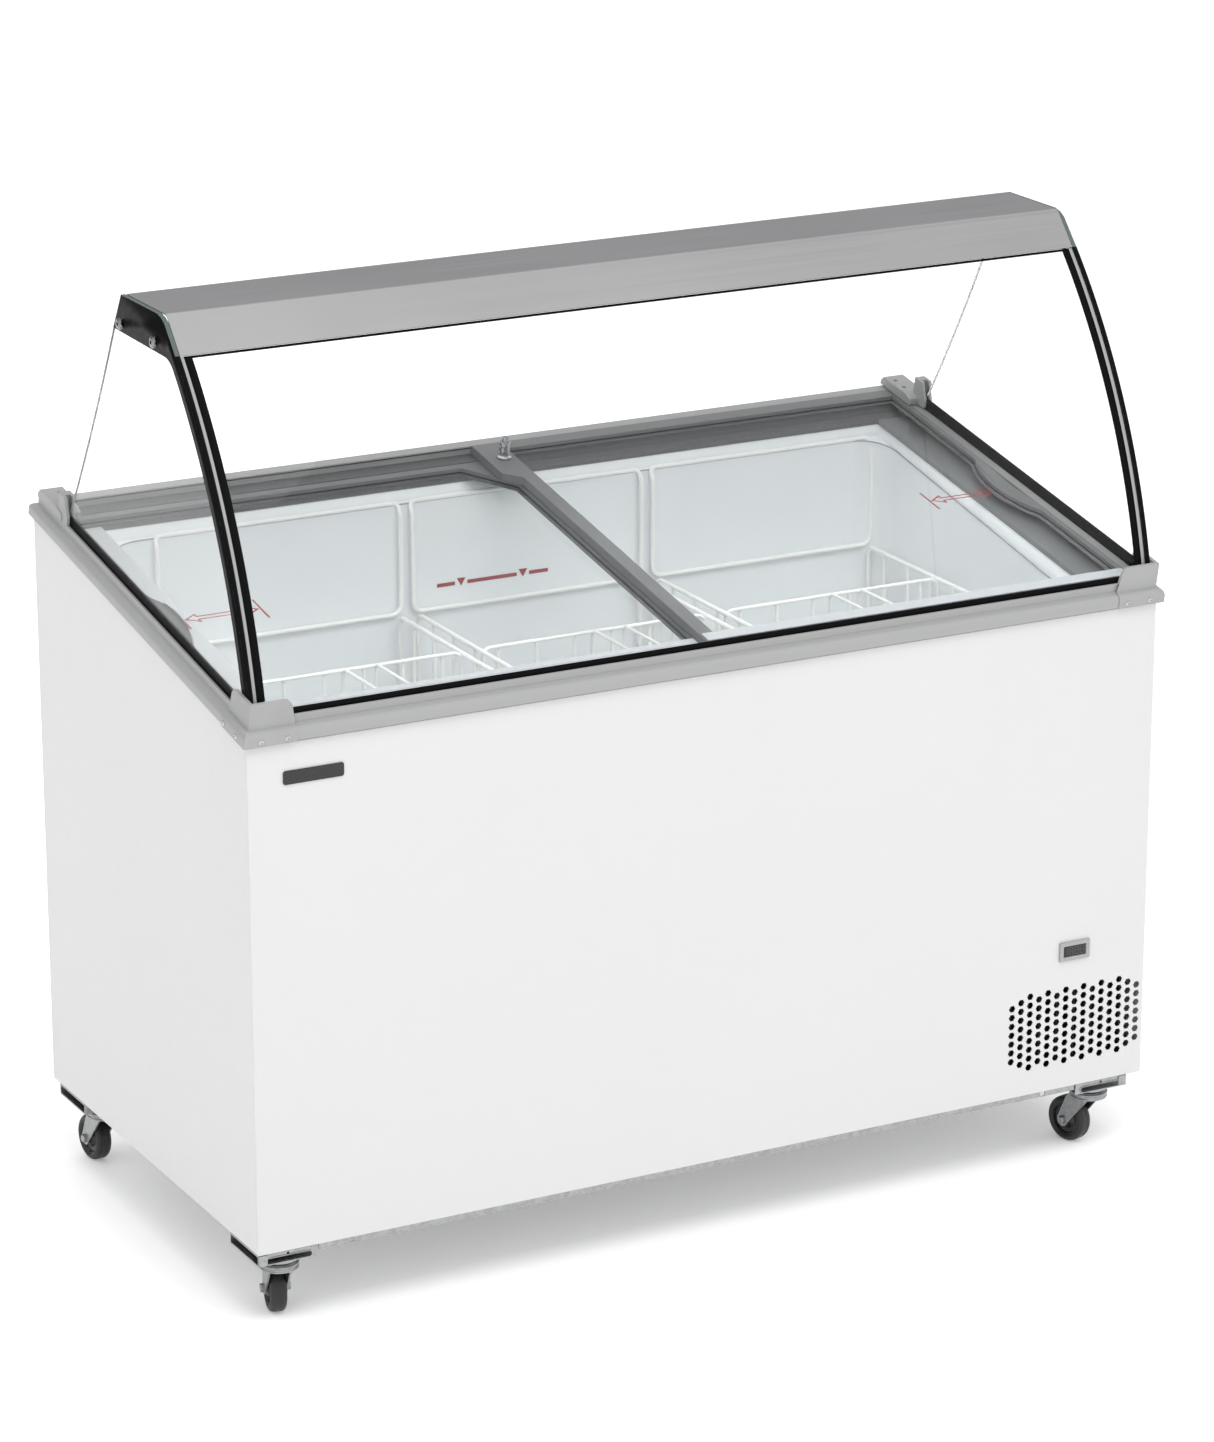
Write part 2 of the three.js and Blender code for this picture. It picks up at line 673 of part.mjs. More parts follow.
function sideGlassOutline() {
  const rearFoot = toCasing([585, GROOVE_FLOOR + GAP]);
  const rearHead = [391, 1081];
  const middle = [(rearFoot[0] + rearHead[0]) / 2 - 8, (rearFoot[1] + rearHead[1]) / 2 - 6];
  const curve = new THREE.QuadraticBezierCurve(
    new THREE.Vector2(...rearHead),
    new THREE.Vector2(...middle),
    new THREE.Vector2(...rearFoot),
  );
  return [
    ...frontArc(0, 16, 0, 6),
    [231, 1120],
    [240, HOOD_TOP - 4],
    [252, HOOD_TOP - 1],
    [HOOD_REAR + 4, HOOD_TOP - 1],
    ...curve.getPoints(8).map((point) => [point.x, point.y]),
    toCasing([9.4, GROOVE_FLOOR + GAP]),
    toCasing([9.4, RAIL_TOP + GAP]),
  ];
}

function sideGlasses() {
  const face = outline(sideGlassOutline().reverse());
  const left = -HALF + SIDE_GLASS_OUT;
  part('left_side_glass', inCanopy(alongX(face, left, left + SIDE_GLASS)), glass);
  part('right_side_glass', inCanopy(alongX(face, -left - SIDE_GLASS, -left)), glass);
}

function frontGlassAndStrips() {
  const stripLeft = -HALF + SIDE_GLASS_OUT + SIDE_GLASS + GAP;
  const glassLeft = stripLeft + STRIP_WIDTH + GAP;
  const outer = frontArc(GAP * 2 + HOOD_SHEET, 20, 14);
  const inner = frontArc(GAP * 2 + HOOD_SHEET + FRONT_GLASS, 20, 14);
  part('front_glass', inCanopy(band(outer, inner, glassLeft, -glassLeft)), glass);
  const stripOuter = frontArc(HOOD_SHEET, 16, 0, STRIP_LIFT);
  const stripInner = frontArc(HOOD_SHEET + FRONT_GLASS, 16, 0, STRIP_LIFT);
  const strip = band(stripOuter, stripInner, stripLeft, stripLeft + STRIP_WIDTH);
  part('left_joint_strip', inCanopy(strip), railGrey);
  const right = band(stripOuter, stripInner, -stripLeft - STRIP_WIDTH, -stripLeft);
  part('right_joint_strip', inCanopy(right), railGrey);
}

function hoodLine(inward) {
  const bend = 14;
  const nose = [GLASS_HEAD.y, GLASS_HEAD.z];
  const corner = [238, HOOD_TOP];
  const run = Math.hypot(corner[0] - nose[0], corner[1] - nose[1]);
  const along = [(corner[0] - nose[0]) / run, (corner[1] - nose[1]) / run];
  const square = [along[1], -along[0]];
  const centre = [corner[0] + bend * Math.tan(Math.atan2(along[1], along[0]) / 2), HOOD_TOP - bend];
  const turn = THREE.MathUtils.radToDeg(Math.atan2(along[1], along[0]));
  return [
    [nose[0] + inward * square[0], nose[1] + inward * square[1]],
    ...arcPoints(centre[0], centre[1], bend - inward, 90 + turn, 90, 5),
    [HOOD_REAR - inward, HOOD_TOP - inward],
    [HOOD_REAR - inward, HOOD_TOP - 14],
  ];
}

function hood() {
  const reach = HALF - SIDE_GLASS_OUT - SIDE_GLASS - GAP;
  const sheet = band(hoodLine(0), hoodLine(HOOD_SHEET), -reach, reach);
  part('hood', inCanopy(sheet), aluminium);
}

// ---------------------------------------------------------------- sliding lids

function halfOval(x, inward, y, half, steps) {
  return Array.from({ length: steps + 1 }, (_, i) => {
    const t = (i / steps) * 2 - 1;
    return [x + inward * Math.cos((t * Math.PI) / 2) ** 0.8, y + half * t];
  });
}

// The lower lid: grip on its left stile, a gusset at the rear of its right stile.
function lowerLidOutlines(y0, y1) {
  const left = LOWER_LID.left + LOWER_LID.stile;
  const right = LOWER_LID.right - LOWER_LID.centreStile;
  const front = y0 + LOWER_LID.rail;
  const rear = y1 - LOWER_LID.rail;
  const gusset = { across: 53, along: 67 };
  const edge = [[LOWER_LID.left, y0], [LOWER_LID.right, y0], [LOWER_LID.right, y1], [LOWER_LID.left, y1]];
  const pane = [
    [left, front],
    [right, front],
    [right, rear - gusset.along],
    [right - gusset.across, rear],
    [left, rear],
    ...halfOval(left, GRIP_BULGE, GRIP_Y, GRIP_HALF, 10).reverse(),
  ];
  return { edge, pane };
}

// The upper lid: grip on its right stile, its left stile widening into a head for the lock.
function upperLidOutlines(y0, y1) {
  const head = { across: 22, start: 532, full: 552 };
  const left = UPPER_LID.left + UPPER_LID.centreStile;
  const right = UPPER_LID.right - UPPER_LID.stile;
  const front = y0 + UPPER_LID.rail;
  const rear = y1 - UPPER_LID.rail;
  const edge = [
    [UPPER_LID.left, y0],
    [UPPER_LID.right, y0],
    [UPPER_LID.right, y1],
    [UPPER_LID.left - head.across, y1],
    [UPPER_LID.left - head.across, head.full],
    [UPPER_LID.left, head.start],
  ];
  const pane = [
    [left, front],
    [right, front],
    ...halfOval(right, -UPPER_GRIP_BULGE, GRIP_Y, GRIP_HALF, 10),
    [right, rear],
    [left, rear],
  ];
  return { edge, pane };
}

// Moves each corner of a closed outline square to its two edges.
function offset(points, distance) {
  const line = (a, b) => {
    const length = Math.hypot(b[0] - a[0], b[1] - a[1]);
    return [(b[0] - a[0]) / length, (b[1] - a[1]) / length];
  };
  return points.map((point, i) => {
    const before = line(points.at(i - 1), point);
    const after = line(point, points[(i + 1) % points.length]);
    const turn = [after[0] - before[0], after[1] - before[1]];
    const cross = before[0] * after[1] - before[1] * after[0];
    const square = [-(before[1] + after[1]), before[0] + after[0]];
    const scale = distance / (1 + before[0] * after[0] + before[1] * after[1]);
    return cross === 0 && turn[0] === 0
      ? [point[0] - before[1] * distance, point[1] + before[0] * distance]
      : [point[0] + square[0] * scale, point[1] + square[1] * scale];
  });
}

function ring(edge, hole) {
  const shape = outline(edge);
  shape.holes.push(new THREE.Path(hole.map(([a, b]) => new THREE.Vector2(a, b))));
  return shape;
}

function lidPieces({ edge, pane }, bottom) {
  const lip = alongZ(ring(edge, offset(pane, 4)), bottom, bottom + LID_LIP);
  const walls = alongZ(ring(edge, pane), bottom + LID_LIP, bottom + LID_THICKNESS);
  const glassBottom = bottom + LID_LIP + GAP;
  const sheet = alongZ(outline(offset(pane, GAP)), glassBottom, glassBottom + LID_GLASS);
  return { frame: join(lip, walls), sheet };
}

function lids() {
  const lowerInset = UPPER_STEP + 0.5;
  const upperInset = RAIL_IN + LID_CLEARANCE;
  const lower = lidPieces(
    lowerLidOutlines(lowerInset, SLOPE_LENGTH - lowerInset),
    LOWER_TRACK_TOP + GAP,
  );
  const upper = lidPieces(
    upperLidOutlines(upperInset, SLOPE_LENGTH - upperInset),
    UPPER_TRACK_TOP + GAP,
  );
  const strike = rod(PLUNGER_RADIUS + 1, 0, 40, 16).translate(LOCK.x, LOCK.y, 0);
  const bore = rod(PLUNGER_RADIUS + GAP, 0, 60, 16).translate(LOCK.x, LOCK.y, 0);
  part('left_lid_frame', cut(lower.frame, strike), trackGrey, top);
  part('left_lid_glass', lower.sheet, glass, top);
  part('right_lid_frame', cut(upper.frame, bore), trackGrey, top);
  part('right_lid_glass', upper.sheet, glass, top);
}

function lock() {
  const base = UPPER_TRACK_TOP + GAP + LID_THICKNESS + GAP;
  const inner = PLUNGER_RADIUS + GAP;
  const profile = [
    [inner, base], [10, base], [10, base + 3], [7.5, base + 5], [7.5, base + 24], [inner, base + 24],
  ];
  const barrel = lathe([...profile, profile[0]], 20);
  part('lock_barrel', barrel.translate(LOCK.x, LOCK.y, 0), chrome, top);
  const plunger = cut(
    rod(PLUNGER_RADIUS, UPPER_TRACK_TOP + 0.9, base + 30.5, 16),
    block([-3, -0.6, base + 28], [3, 0.6, base + 40]),
  );
  part('lock_plunger', plunger.translate(LOCK.x, LOCK.y, 0), chrome, top);
}

// ---------------------------------------------------------------- baskets

// A tray of the basket's outer shape. A tall hoop at the rear and a low one in front end in bars
// that hang over the liner's ledges.
function basket(x) {
  const low = [x - BASKET_WIDTH / 2, BASKET_FRONT, BASKET_FLOOR];
  const high = [x + BASKET_WIDTH / 2, BASKET_REAR, BASKET_RIM];
  const tray = cut(block(low, high), block(
    [low[0] + BASKET_WALL, low[1] + BASKET_WALL, low[2] + BASKET_WALL],
    [high[0] - BASKET_WALL, high[1] - BASKET_WALL, high[2] + 10],
  ));
  const hoop = (y0, y1, height) => cut(
    block([low[0], y0, BASKET_RIM - 10], [high[0], y1, height]),
    block([low[0] + WIRE, y0 - 1, BASKET_RIM - 20], [high[0] - WIRE, y1 + 1, height - WIRE]),
  );
  const hanger = (y0, y1, height) => block([low[0], y0, height - WIRE], [high[0], y1, height]);
  return join(
    tray,
    hoop(BASKET_REAR - WIRE, BASKET_REAR, REAR_HOOP_TOP),
    hanger(BASKET_REAR - WIRE, BASKET_REAR + HANGER_REACH, REAR_HOOP_TOP),
    hoop(BASKET_FRONT, BASKET_FRONT + WIRE, FRONT_HOOP_TOP),
    hanger(BASKET_FRONT - HANGER_REACH, BASKET_FRONT + WIRE, FRONT_HOOP_TOP),
  );
}

// A cross plate with two runners reaching forward to the front rim.
function divider(x) {
  const reach = BASKET_WIDTH / 2 - BASKET_WALL - 0.5;
  const runnerX = x + 21;
  const crossY = 390;
  const plate = block([x - reach, crossY - 2, 490], [x + reach, crossY + 2, BASKET_RIM]);
  const runners = [-23, 23].map((side) => block(
    [runnerX + side - WIRE / 2, BASKET_FRONT + BASKET_WALL + 0.5, BASKET_RIM - WIRE],
    [runnerX + side + WIRE / 2, crossY, BASKET_RIM],
  ));
  return join(plate, ...runners);
}

function baskets() {
  ['left', 'middle', 'right'].forEach((place, i) => {
    const x = BASKET_X[i];
    part(`${place}_basket`, basket(x).translate(0, FRONT_Y, BODY_BOTTOM), coatedWire);
    part(`${place}_basket_divider`, divider(x).translate(0, FRONT_Y, BODY_BOTTOM), coatedWire);
  });
}

// ---------------------------------------------------------------- casters

// A galvanised box bracket, open at both ends and slotted on its outer wall, with the fixed
// half of the swivel riveted under it.
function casterMount() {
  const half = 40;
  const wall = 2;
  const y0 = -28;
  const y1 = 57;
  const shell = block([-half, y0, MOUNT_BOTTOM], [half, y1, BODY_BOTTOM - GAP]);
  const inside = block(
    [-half - 1, y0 + wall, MOUNT_BOTTOM + wall],
    [half + 1, y1 - wall, BODY_BOTTOM - GAP - wall],
  );
  const slotRadius = 3.6;
  const slotHalf = 28;
  const slot = alongY(outline([
    ...arcPoints(slotHalf, 95.4, slotRadius, -90, 90, 6),
    ...arcPoints(-slotHalf, 95.4, slotRadius, 90, 270, 6),
  ]), y0 - 1, y0 + wall + 1);
  const head = lathe([[0, 83], [20, 83], [25, 86], [25, 90.5], [0, 90.5]], 24);
  return join(cut(shell, inside, slot), head);
}

// The swivelling fork: a round crown, two legs raked back to the axle, and the axle itself.
function casterFork() {
  const legIn = WHEEL_WIDTH / 2 + 1.2;
  const legOut = legIn + 2.3;
  const crown = lathe([[0, 73], [21, 73], [23.5, 75], [23.5, 81], [21, FORK_TOP], [0, FORK_TOP]], 24);
  const leg = outline([
    [-14, 76],
    [-6, 66],
    ...arcPoints(TRAIL, WHEEL_RADIUS, 9, 200, 380, 8),
    [28, 66],
    [20, 76],
  ]);
  const legs = [-legOut, legIn].map((x) => alongX(leg, x, x + legOut - legIn));
  const bridge = block([-legOut, -12, 73.5], [legOut, 18, 76]);
  const axle = rod(AXLE_RADIUS, -legOut - 2.4, legOut + 2.4, 12)
    .rotateY(Math.PI / 2)
    .translate(0, TRAIL, WHEEL_RADIUS);
  return join(crown, bridge, ...legs, axle);
}

function casterWheel() {
  const half = WHEEL_WIDTH / 2;
  const bore = AXLE_RADIUS + GAP;
  const profile = [
    [bore, -half], [11, -half], [13, -half + 3], [22, -half + 3], [24.5, -half + 0.4],
    [WHEEL_RADIUS - 2.5, -half + 1.2], [WHEEL_RADIUS, -6], [WHEEL_RADIUS, 6],
    [WHEEL_RADIUS - 2.5, half - 1.2], [24.5, half - 0.4], [22, half - 3], [13, half - 3],
    [11, half], [bore, half],
  ];
  return lathe([...profile, profile[0]], 24).rotateY(Math.PI / 2).translate(0, TRAIL, WHEEL_RADIUS);
}

function casters() {
  for (const { name, x, y, yaw } of CASTERS) {
    part(`caster_mount_${name}`, casterMount().translate(x, FRONT_Y + y, 0), galvanised);
    const swivel = new THREE.Group();
    swivel.position.set(x, FRONT_Y + y, 0);
    swivel.rotation.z = THREE.MathUtils.degToRad(yaw);
    cabinet.add(swivel);
    part(`caster_fork_${name}`, casterFork(), galvanised, swivel);
    part(`caster_wheel_${name}`, casterWheel(), tyre, swivel);
  }
}

// ---------------------------------------------------------------- assembly

frontPanel();
rearPanel();
sidePanels();
basePan();
linerAndFoam();
evaporatorCoil();
compressor();
condenser();
fan();
controls();
frontPlates();
rails();
tracks();
caps();
rearBrackets();
sideGlasses();
frontGlassAndStrips();
hood();
lids();
lock();
baskets();
casters();

export default cabinet;
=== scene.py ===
"""The look of an ice cream dipping cabinet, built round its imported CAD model.

Everything is in metres in the model's own frame: +Z up, the customers at -Y, the floor at z = 0.
"""

import json
import math

import bmesh
import bpy
from mathutils import Matrix, Vector


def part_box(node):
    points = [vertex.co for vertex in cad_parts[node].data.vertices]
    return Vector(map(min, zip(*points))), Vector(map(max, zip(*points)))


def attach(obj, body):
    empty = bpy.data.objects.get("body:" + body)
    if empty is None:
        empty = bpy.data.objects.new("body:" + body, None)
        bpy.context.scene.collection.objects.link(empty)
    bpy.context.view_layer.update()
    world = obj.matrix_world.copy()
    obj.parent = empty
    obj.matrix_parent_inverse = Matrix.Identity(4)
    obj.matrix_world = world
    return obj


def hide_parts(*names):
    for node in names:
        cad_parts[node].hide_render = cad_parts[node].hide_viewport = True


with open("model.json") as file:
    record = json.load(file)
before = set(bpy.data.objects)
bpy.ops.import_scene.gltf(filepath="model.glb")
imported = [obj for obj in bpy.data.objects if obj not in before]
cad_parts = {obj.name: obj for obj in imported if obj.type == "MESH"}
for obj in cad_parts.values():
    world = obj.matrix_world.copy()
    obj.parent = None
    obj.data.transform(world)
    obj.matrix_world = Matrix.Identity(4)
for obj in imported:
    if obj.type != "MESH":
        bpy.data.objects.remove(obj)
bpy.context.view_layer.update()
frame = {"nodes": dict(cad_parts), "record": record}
nodes = frame["nodes"]

# ------------------------------------------------------------------ dimensions of the cabinet

SLOPE = math.radians(10.4)
FRONT_Y = -0.32771
REAR_Y = 0.33229
BODY_BOTTOM = 0.105
CASING_TOP = 0.7584
HALF = 0.645

RAIL_IN = 0.0255
RAIL_NOSE = 0.0071
SLOPE_LENGTH = (REAR_Y - FRONT_Y) / math.cos(SLOPE)

GRIP_ALONG = 0.318
GRIP_HALF = 0.085
GRIP_SHAPE = 0.8
LOCK_X = -0.009
LOCK_ALONG = 0.595

GLASS_OUT = 0.0073
GLASS_THICK = 0.006
GLASS_RADIUS = 0.850
GLASS_FOOT = Vector((0.0019, 0.683))
GLASS_HEAD = Vector((0.200, 1.086))
HOOD_TOP = 1.129
HOOD_REAR = 0.360
FRONT_GLASS_OUTER = 0.0026
FRONT_GLASS_SIDE = 0.0186
PRINT_THICK = 0.0001
PRINT_BAND = 0.018
FRONT_PRINT_BAND = 0.0108

LINER_X = 0.577
LINER_CORNER = 0.045
LINER_FRONT = -0.25533
LINER_REAR = 0.25991
LINER_FLOOR = 0.180
LINER_STEP_FLOOR = 0.460
LINER_STEP_X = 0.345
FRONT_LEDGE = 0.7447
REAR_LEDGE = 0.8497
LEDGE = 0.0055

BASKETS = {"left": -0.334, "middle": 0.027, "right": 0.388}
BASKET_HALF = 0.175
BASKET_FRONT = -0.25071
BASKET_REAR = 0.25529
BASKET_FLOOR = 0.535
BASKET_RIM = 0.705
REAR_HOOP_TOP = 0.855
FRONT_HOOP_TOP = 0.750
HANGER = 0.009
DIVIDER_Y = 0.06229
DIVIDER_FOOT = 0.595
FRAME_WIRE = 0.0032
MESH_WIRE = 0.0025

CASTERS = {
    "front_left": (-0.605, -0.29971, -14),
    "front_right": (0.583, -0.29971, 15),
    "rear_left": (-0.605, 0.25429, 5),
    "rear_right": (0.583, 0.25429, 8),
}
TRAIL = 0.033
WHEEL_RADIUS = 0.031
WHEEL_HALF = 0.011
RIM_EDGE = (0.0215, 0.0088)

# The sloping top: x across, y up the slope from the casing's front edge, z square to the slope.
TOP = Matrix.Translation((0, FRONT_Y, CASING_TOP)) @ Matrix.Rotation(SLOPE, 4, "X")


def top_path(outline, height):
    """Points at one height over the sloping top, from an outline across and up the slope."""
    return [TOP @ Vector((x, along, height)) for x, along in outline]


def canopy_point(x, point):
    """A canopy point, given by its depth and height from the casing's front lower edge."""
    return Vector((x, FRONT_Y + point[0], BODY_BOTTOM + point[1]))


def slope_point(along, raise_by):
    """A depth and height from the casing's front lower edge, from a place on the sloping top."""
    return Vector((
        along * math.cos(SLOPE) - raise_by * math.sin(SLOPE),
        CASING_TOP - BODY_BOTTOM + along * math.sin(SLOPE) + raise_by * math.cos(SLOPE),
    ))


def top_height(y, lower=0.0):
    """Height of the casing's top plane at a depth."""
    return CASING_TOP + (y - FRONT_Y) * math.tan(SLOPE) - lower


# ------------------------------------------------------------------ shader building


def add_node(tree, kind, inputs=None, **settings):
    """Adds a shader node. Each input is a value or another node's output socket."""
    made = tree.nodes.new(kind)
    for key, value in settings.items():
        setattr(made, key, value)
    for key, value in (inputs or {}).items():
        if isinstance(value, bpy.types.NodeSocket):
            tree.links.new(value, made.inputs[key])
        else:
            made.inputs[key].default_value = value
    return made


class Look:
    """A material and short ways to add nodes to it."""

    def __init__(self, name, **values):
        self.material = bpy.data.materials.new(name)
        self.material.use_nodes = True
        self.tree = self.material.node_tree
        self.shader = self.tree.nodes["Principled BSDF"]
        self.output = self.tree.nodes["Material Output"]
        self.place = self.node("ShaderNodeTexCoord").outputs["Object"]
        for socket, value in values.items():
            self.set(socket.replace("_", " "), value)

    def node(self, kind, inputs=None, **settings):
        return add_node(self.tree, kind, inputs, **settings)

    def set(self, socket, value):
        if isinstance(value, bpy.types.NodeSocket):
            self.tree.links.new(value, self.shader.inputs[socket])
        else:
            self.shader.inputs[socket].default_value = value

    def stretched(self, stretch):
        return self.node("ShaderNodeMapping", {"Vector": self.place, "Scale": stretch}).outputs[0]

    def noise(self, scale, detail=2.0, stretch=(1, 1, 1)):
        return self.node(
            "ShaderNodeTexNoise",
            {"Vector": self.stretched(stretch), "Scale": scale, "Detail": detail},
        ).outputs["Fac"]

    def cells(self, scale):
        return self.node(
            "ShaderNodeTexVoronoi", {"Vector": self.place, "Scale": scale}
        ).outputs["Color"]

    def spread(self, value, low, high, from_low=0.25, from_high=0.75):
        inputs = {"From Min": from_low, "From Max": from_high, "To Min": low, "To Max": high}
        return self.node("ShaderNodeMapRange", {"Value": value, **inputs}).outputs["Result"]

    def between(self, share, first, second):
        ramp = self.node("ShaderNodeValToRGB", {"Fac": share})
        ramp.color_ramp.elements[0].color = (*first, 1)
        ramp.color_ramp.elements[1].color = (*second, 1)
        return ramp.outputs["Color"]

    def colour(self, share, first, second):
        self.set("Base Color", self.between(share, first, second))

    def rough(self, value, low, high, from_low=0.25, from_high=0.75):
        self.set("Roughness", self.spread(value, low, high, from_low, from_high))

    def bump(self, height, depth, strength=1.0):
        inputs = {"Height": height, "Distance": depth, "Strength": strength}
        self.set("Normal", self.node("ShaderNodeBump", inputs).outputs["Normal"])


def shade(colour, factor):
    """A colour made lighter or darker."""
    return tuple(min(1.0, channel * factor) for channel in colour)


# ------------------------------------------------------------------ materials


def white_paint():
    """Gloss paint on sheet steel, with a faint orange peel and a slight drift in tone."""
    look = Look("white_paint", Coat_Weight=0.35, Coat_Roughness=0.12)
    colour = (0.588, 0.588, 0.590)
    tone = look.spread(look.noise(1.7, 3), 0, 1)
    look.colour(tone, shade(colour, 0.985), shade(colour, 1.01))
    look.rough(look.noise(55, 4), 0.30, 0.38)
    look.bump(look.noise(420, 2), 0.00006, 0.5)
    return look.material


def galvanised_steel():
    """Zinc with its frost-like grains, each reflecting a little differently."""
    look = Look("galvanised_steel", Metallic=1.0)
    grain = look.node("ShaderNodeSeparateColor", {"Color": look.cells(210)}).outputs["Red"]
    look.colour(grain, (0.30, 0.305, 0.31), (0.40, 0.405, 0.41))
    look.rough(grain, 0.30, 0.46, 0, 1)
    look.bump(look.noise(900, 3), 0.00003, 0.6)
    return look.material


def moulded(name, colour, roughness, grain=0.00004):
    """Moulded plastic with a fine leathery grain and a slight drift in tone."""
    look = Look(name)
    tone = look.spread(look.noise(14, 4), 0, 1)
    look.colour(tone, shade(colour, 0.93), shade(colour, 1.06))
    look.rough(look.noise(160, 3), roughness - 0.05, roughness + 0.06)
    look.bump(look.noise(1900, 2), grain, 0.8)
    return look.material


def extruded(name, colour, roughness, stretch):
    """Extruded plastic: faint drawn lines along its length over a satin surface."""
    look = Look(name)
    lines = look.noise(420, 3, stretch)
    tone = look.spread(lines, 0, 1)
    look.colour(tone, shade(colour, 0.97), shade(colour, 1.03))
    look.rough(look.noise(35, 3), roughness - 0.04, roughness + 0.06)
    look.bump(lines, 0.00004, 0.5)
    return look.material


def clear_glass(name, tint, edge=None):
    """Float glass, a shade greener here and there. Light from lamps passes straight through, so
    that what lies behind is lit.
    An upright side pane can have its edges painted darker, a painted shade for the dark look of a
    thick pane's polished edge."""
    look = Look(name, Roughness=0.0, IOR=1.2, Transmission_Weight=1.0)
    drift = look.spread(look.noise(3, 2), 0, 1)
    colour = look.between(drift, shade(tint, 0.992), tint)
    if edge:
        normal = look.node("ShaderNodeTexCoord").outputs["Normal"]
        sideways = look.node("ShaderNodeSeparateXYZ", {"Vector": normal}).outputs["X"]
        flat = look.node("ShaderNodeMath", {0: sideways}, operation="ABSOLUTE").outputs[0]
        # Painted shade: faces whose normals do not point along x, the pane's edges and arrises,
        # take the dark edge colour and pass less light.
        painted_edge_shade = look.spread(flat, 1, 0, 0.80, 0.97)
        mix = look.node(
            "ShaderNodeMix", {"Factor": painted_edge_shade, "A": colour, "B": (*edge, 1)}, data_type="RGBA"
        )
        colour = mix.outputs["Result"]
        look.set("Transmission Weight", look.spread(painted_edge_shade, 1, 0.35, 0, 1))
    look.set("Base Color", colour)
    straight = look.node("ShaderNodeBsdfTransparent", {"Color": (*shade(tint, 0.995), 1)})
    path = look.node("ShaderNodeLightPath")
    mix = look.node("ShaderNodeMixShader", {"Fac": path.outputs["Is Shadow Ray"]})
    look.tree.links.new(look.shader.outputs["BSDF"], mix.inputs[1])
    look.tree.links.new(straight.outputs["BSDF"], mix.inputs[2])
    look.tree.links.new(mix.outputs["Shader"], look.output.inputs["Surface"])
    return look.material


def black_print():
    """Black enamel fired onto glass, with a very fine stipple."""
    look = Look("black_print", Specular_IOR_Level=0.03)
    speck = look.spread(look.noise(2600, 1), 0, 1, 0.4, 0.7)
    look.colour(speck, (0.0045, 0.0045, 0.005), (0.006, 0.006, 0.0065))
    look.rough(look.noise(80, 3), 0.30, 0.42)
    return look.material


def brushed_aluminium():
    """Anodised sheet, brushed from end to end."""
    look = Look("brushed_aluminium", Metallic=1.0)
    brush = look.noise(240, 5, (0.012, 1, 1))
    patch = look.spread(look.noise(3, 2), 0, 1)
    look.colour(patch, (0.50, 0.50, 0.505), (0.56, 0.56, 0.565))
    look.rough(brush, 0.30, 0.42)
    look.bump(brush, 0.00005, 0.5)
    return look.material


def chrome_plate(name, dark, light):
    """Bright plating with faint smears."""
    look = Look(name, Metallic=1.0)
    smear = look.noise(260, 4)
    look.colour(look.spread(smear, 0, 1), dark, light)
    look.rough(smear, 0.06, 0.16)
    return look.material


def coated_wire():
    """Off-white plastic dipped over wire, slightly uneven along its length."""
    look = Look("coated_wire", Coat_Weight=0.2, Coat_Roughness=0.2)
    tone = look.spread(look.noise(30, 3), 0, 1)
    look.colour(tone, (0.925, 0.925, 0.905), (0.955, 0.955, 0.940))
    look.rough(look.noise(240, 2), 0.26, 0.38)
    look.bump(look.noise(330, 3), 0.00018, 0.5)
    return look.material


def liner_sheet():
    """Pale coated aluminium sheet, with a soft stucco and a patchy trace of frost."""
    look = Look("liner_sheet", Coat_Weight=0.25, Coat_Roughness=0.25)
    frost = look.spread(look.noise(6, 5), 0, 1, 0.35, 0.7)
    look.colour(frost, (0.855, 0.880, 0.900), (0.890, 0.910, 0.925))
    look.rough(look.noise(70, 4), 0.32, 0.46)
    look.bump(look.noise(170, 3), 0.00012, 0.5)
    return look.material


def tyre_rubber():
    """Black rubber with a moulding grain, a little dusty."""
    look = Look("tyre_rubber")
    dust = look.spread(look.noise(120, 5), 0, 1, 0.45, 0.8)
    look.colour(dust, (0.008, 0.008, 0.008), (0.020, 0.0195, 0.019))
    look.rough(dust, 0.42, 0.75, 0, 1)
    look.bump(look.noise(1300, 3), 0.00008, 0.7)
    return look.material


def polyurethane_foam():
    """Sawn foam with open cells."""
    look = Look("polyurethane_foam", Roughness=0.95)
    look.colour(look.noise(90, 4), (0.66, 0.56, 0.33), (0.84, 0.75, 0.52))
    look.bump(look.cells(400), 0.0006, 0.8)
    return look.material


def copper_tube():
    """Bare copper, tarnished in patches."""
    look = Look("copper_tube", Metallic=1.0)
    tarnish = look.spread(look.noise(40, 5), 0, 1)
    look.colour(tarnish, (0.55, 0.25, 0.13), (0.80, 0.44, 0.28))
    look.rough(tarnish, 0.42, 0.26, 0, 1)
    return look.material


def enamelled_black(name, roughness):
    """Black enamel over a slightly rough casting or pressing."""
    look = Look(name)
    tone = look.noise(75, 4)
    look.colour(tone, (0.010, 0.010, 0.011), (0.028, 0.028, 0.030))
    look.rough(tone, roughness - 0.08, roughness + 0.08)
    look.bump(look.noise(520, 3), 0.00015, 0.6)
    return look.material


def ink(name, dark, light, roughness, scale=600):
    """Printed ink, slightly mottled."""
    look = Look(name)
    tone = look.noise(scale, 2)
    look.colour(tone, dark, light)
    look.rough(tone, *roughness)
    return look.material


def pale_floor():
    """A plain studio floor that glows a little, so that it fades into the backdrop."""
    look = Look("pale_floor", Specular_IOR_Level=0.1, Emission_Strength=0.22)
    look.shader.inputs["Emission Color"].default_value = (1, 1, 1, 1)
    tone = look.spread(look.noise(0.6, 2), 0, 1)
    look.colour(tone, (0.93, 0.93, 0.93), (0.95, 0.95, 0.95))
    look.rough(look.noise(20, 3), 0.75, 0.85)
    return look.material


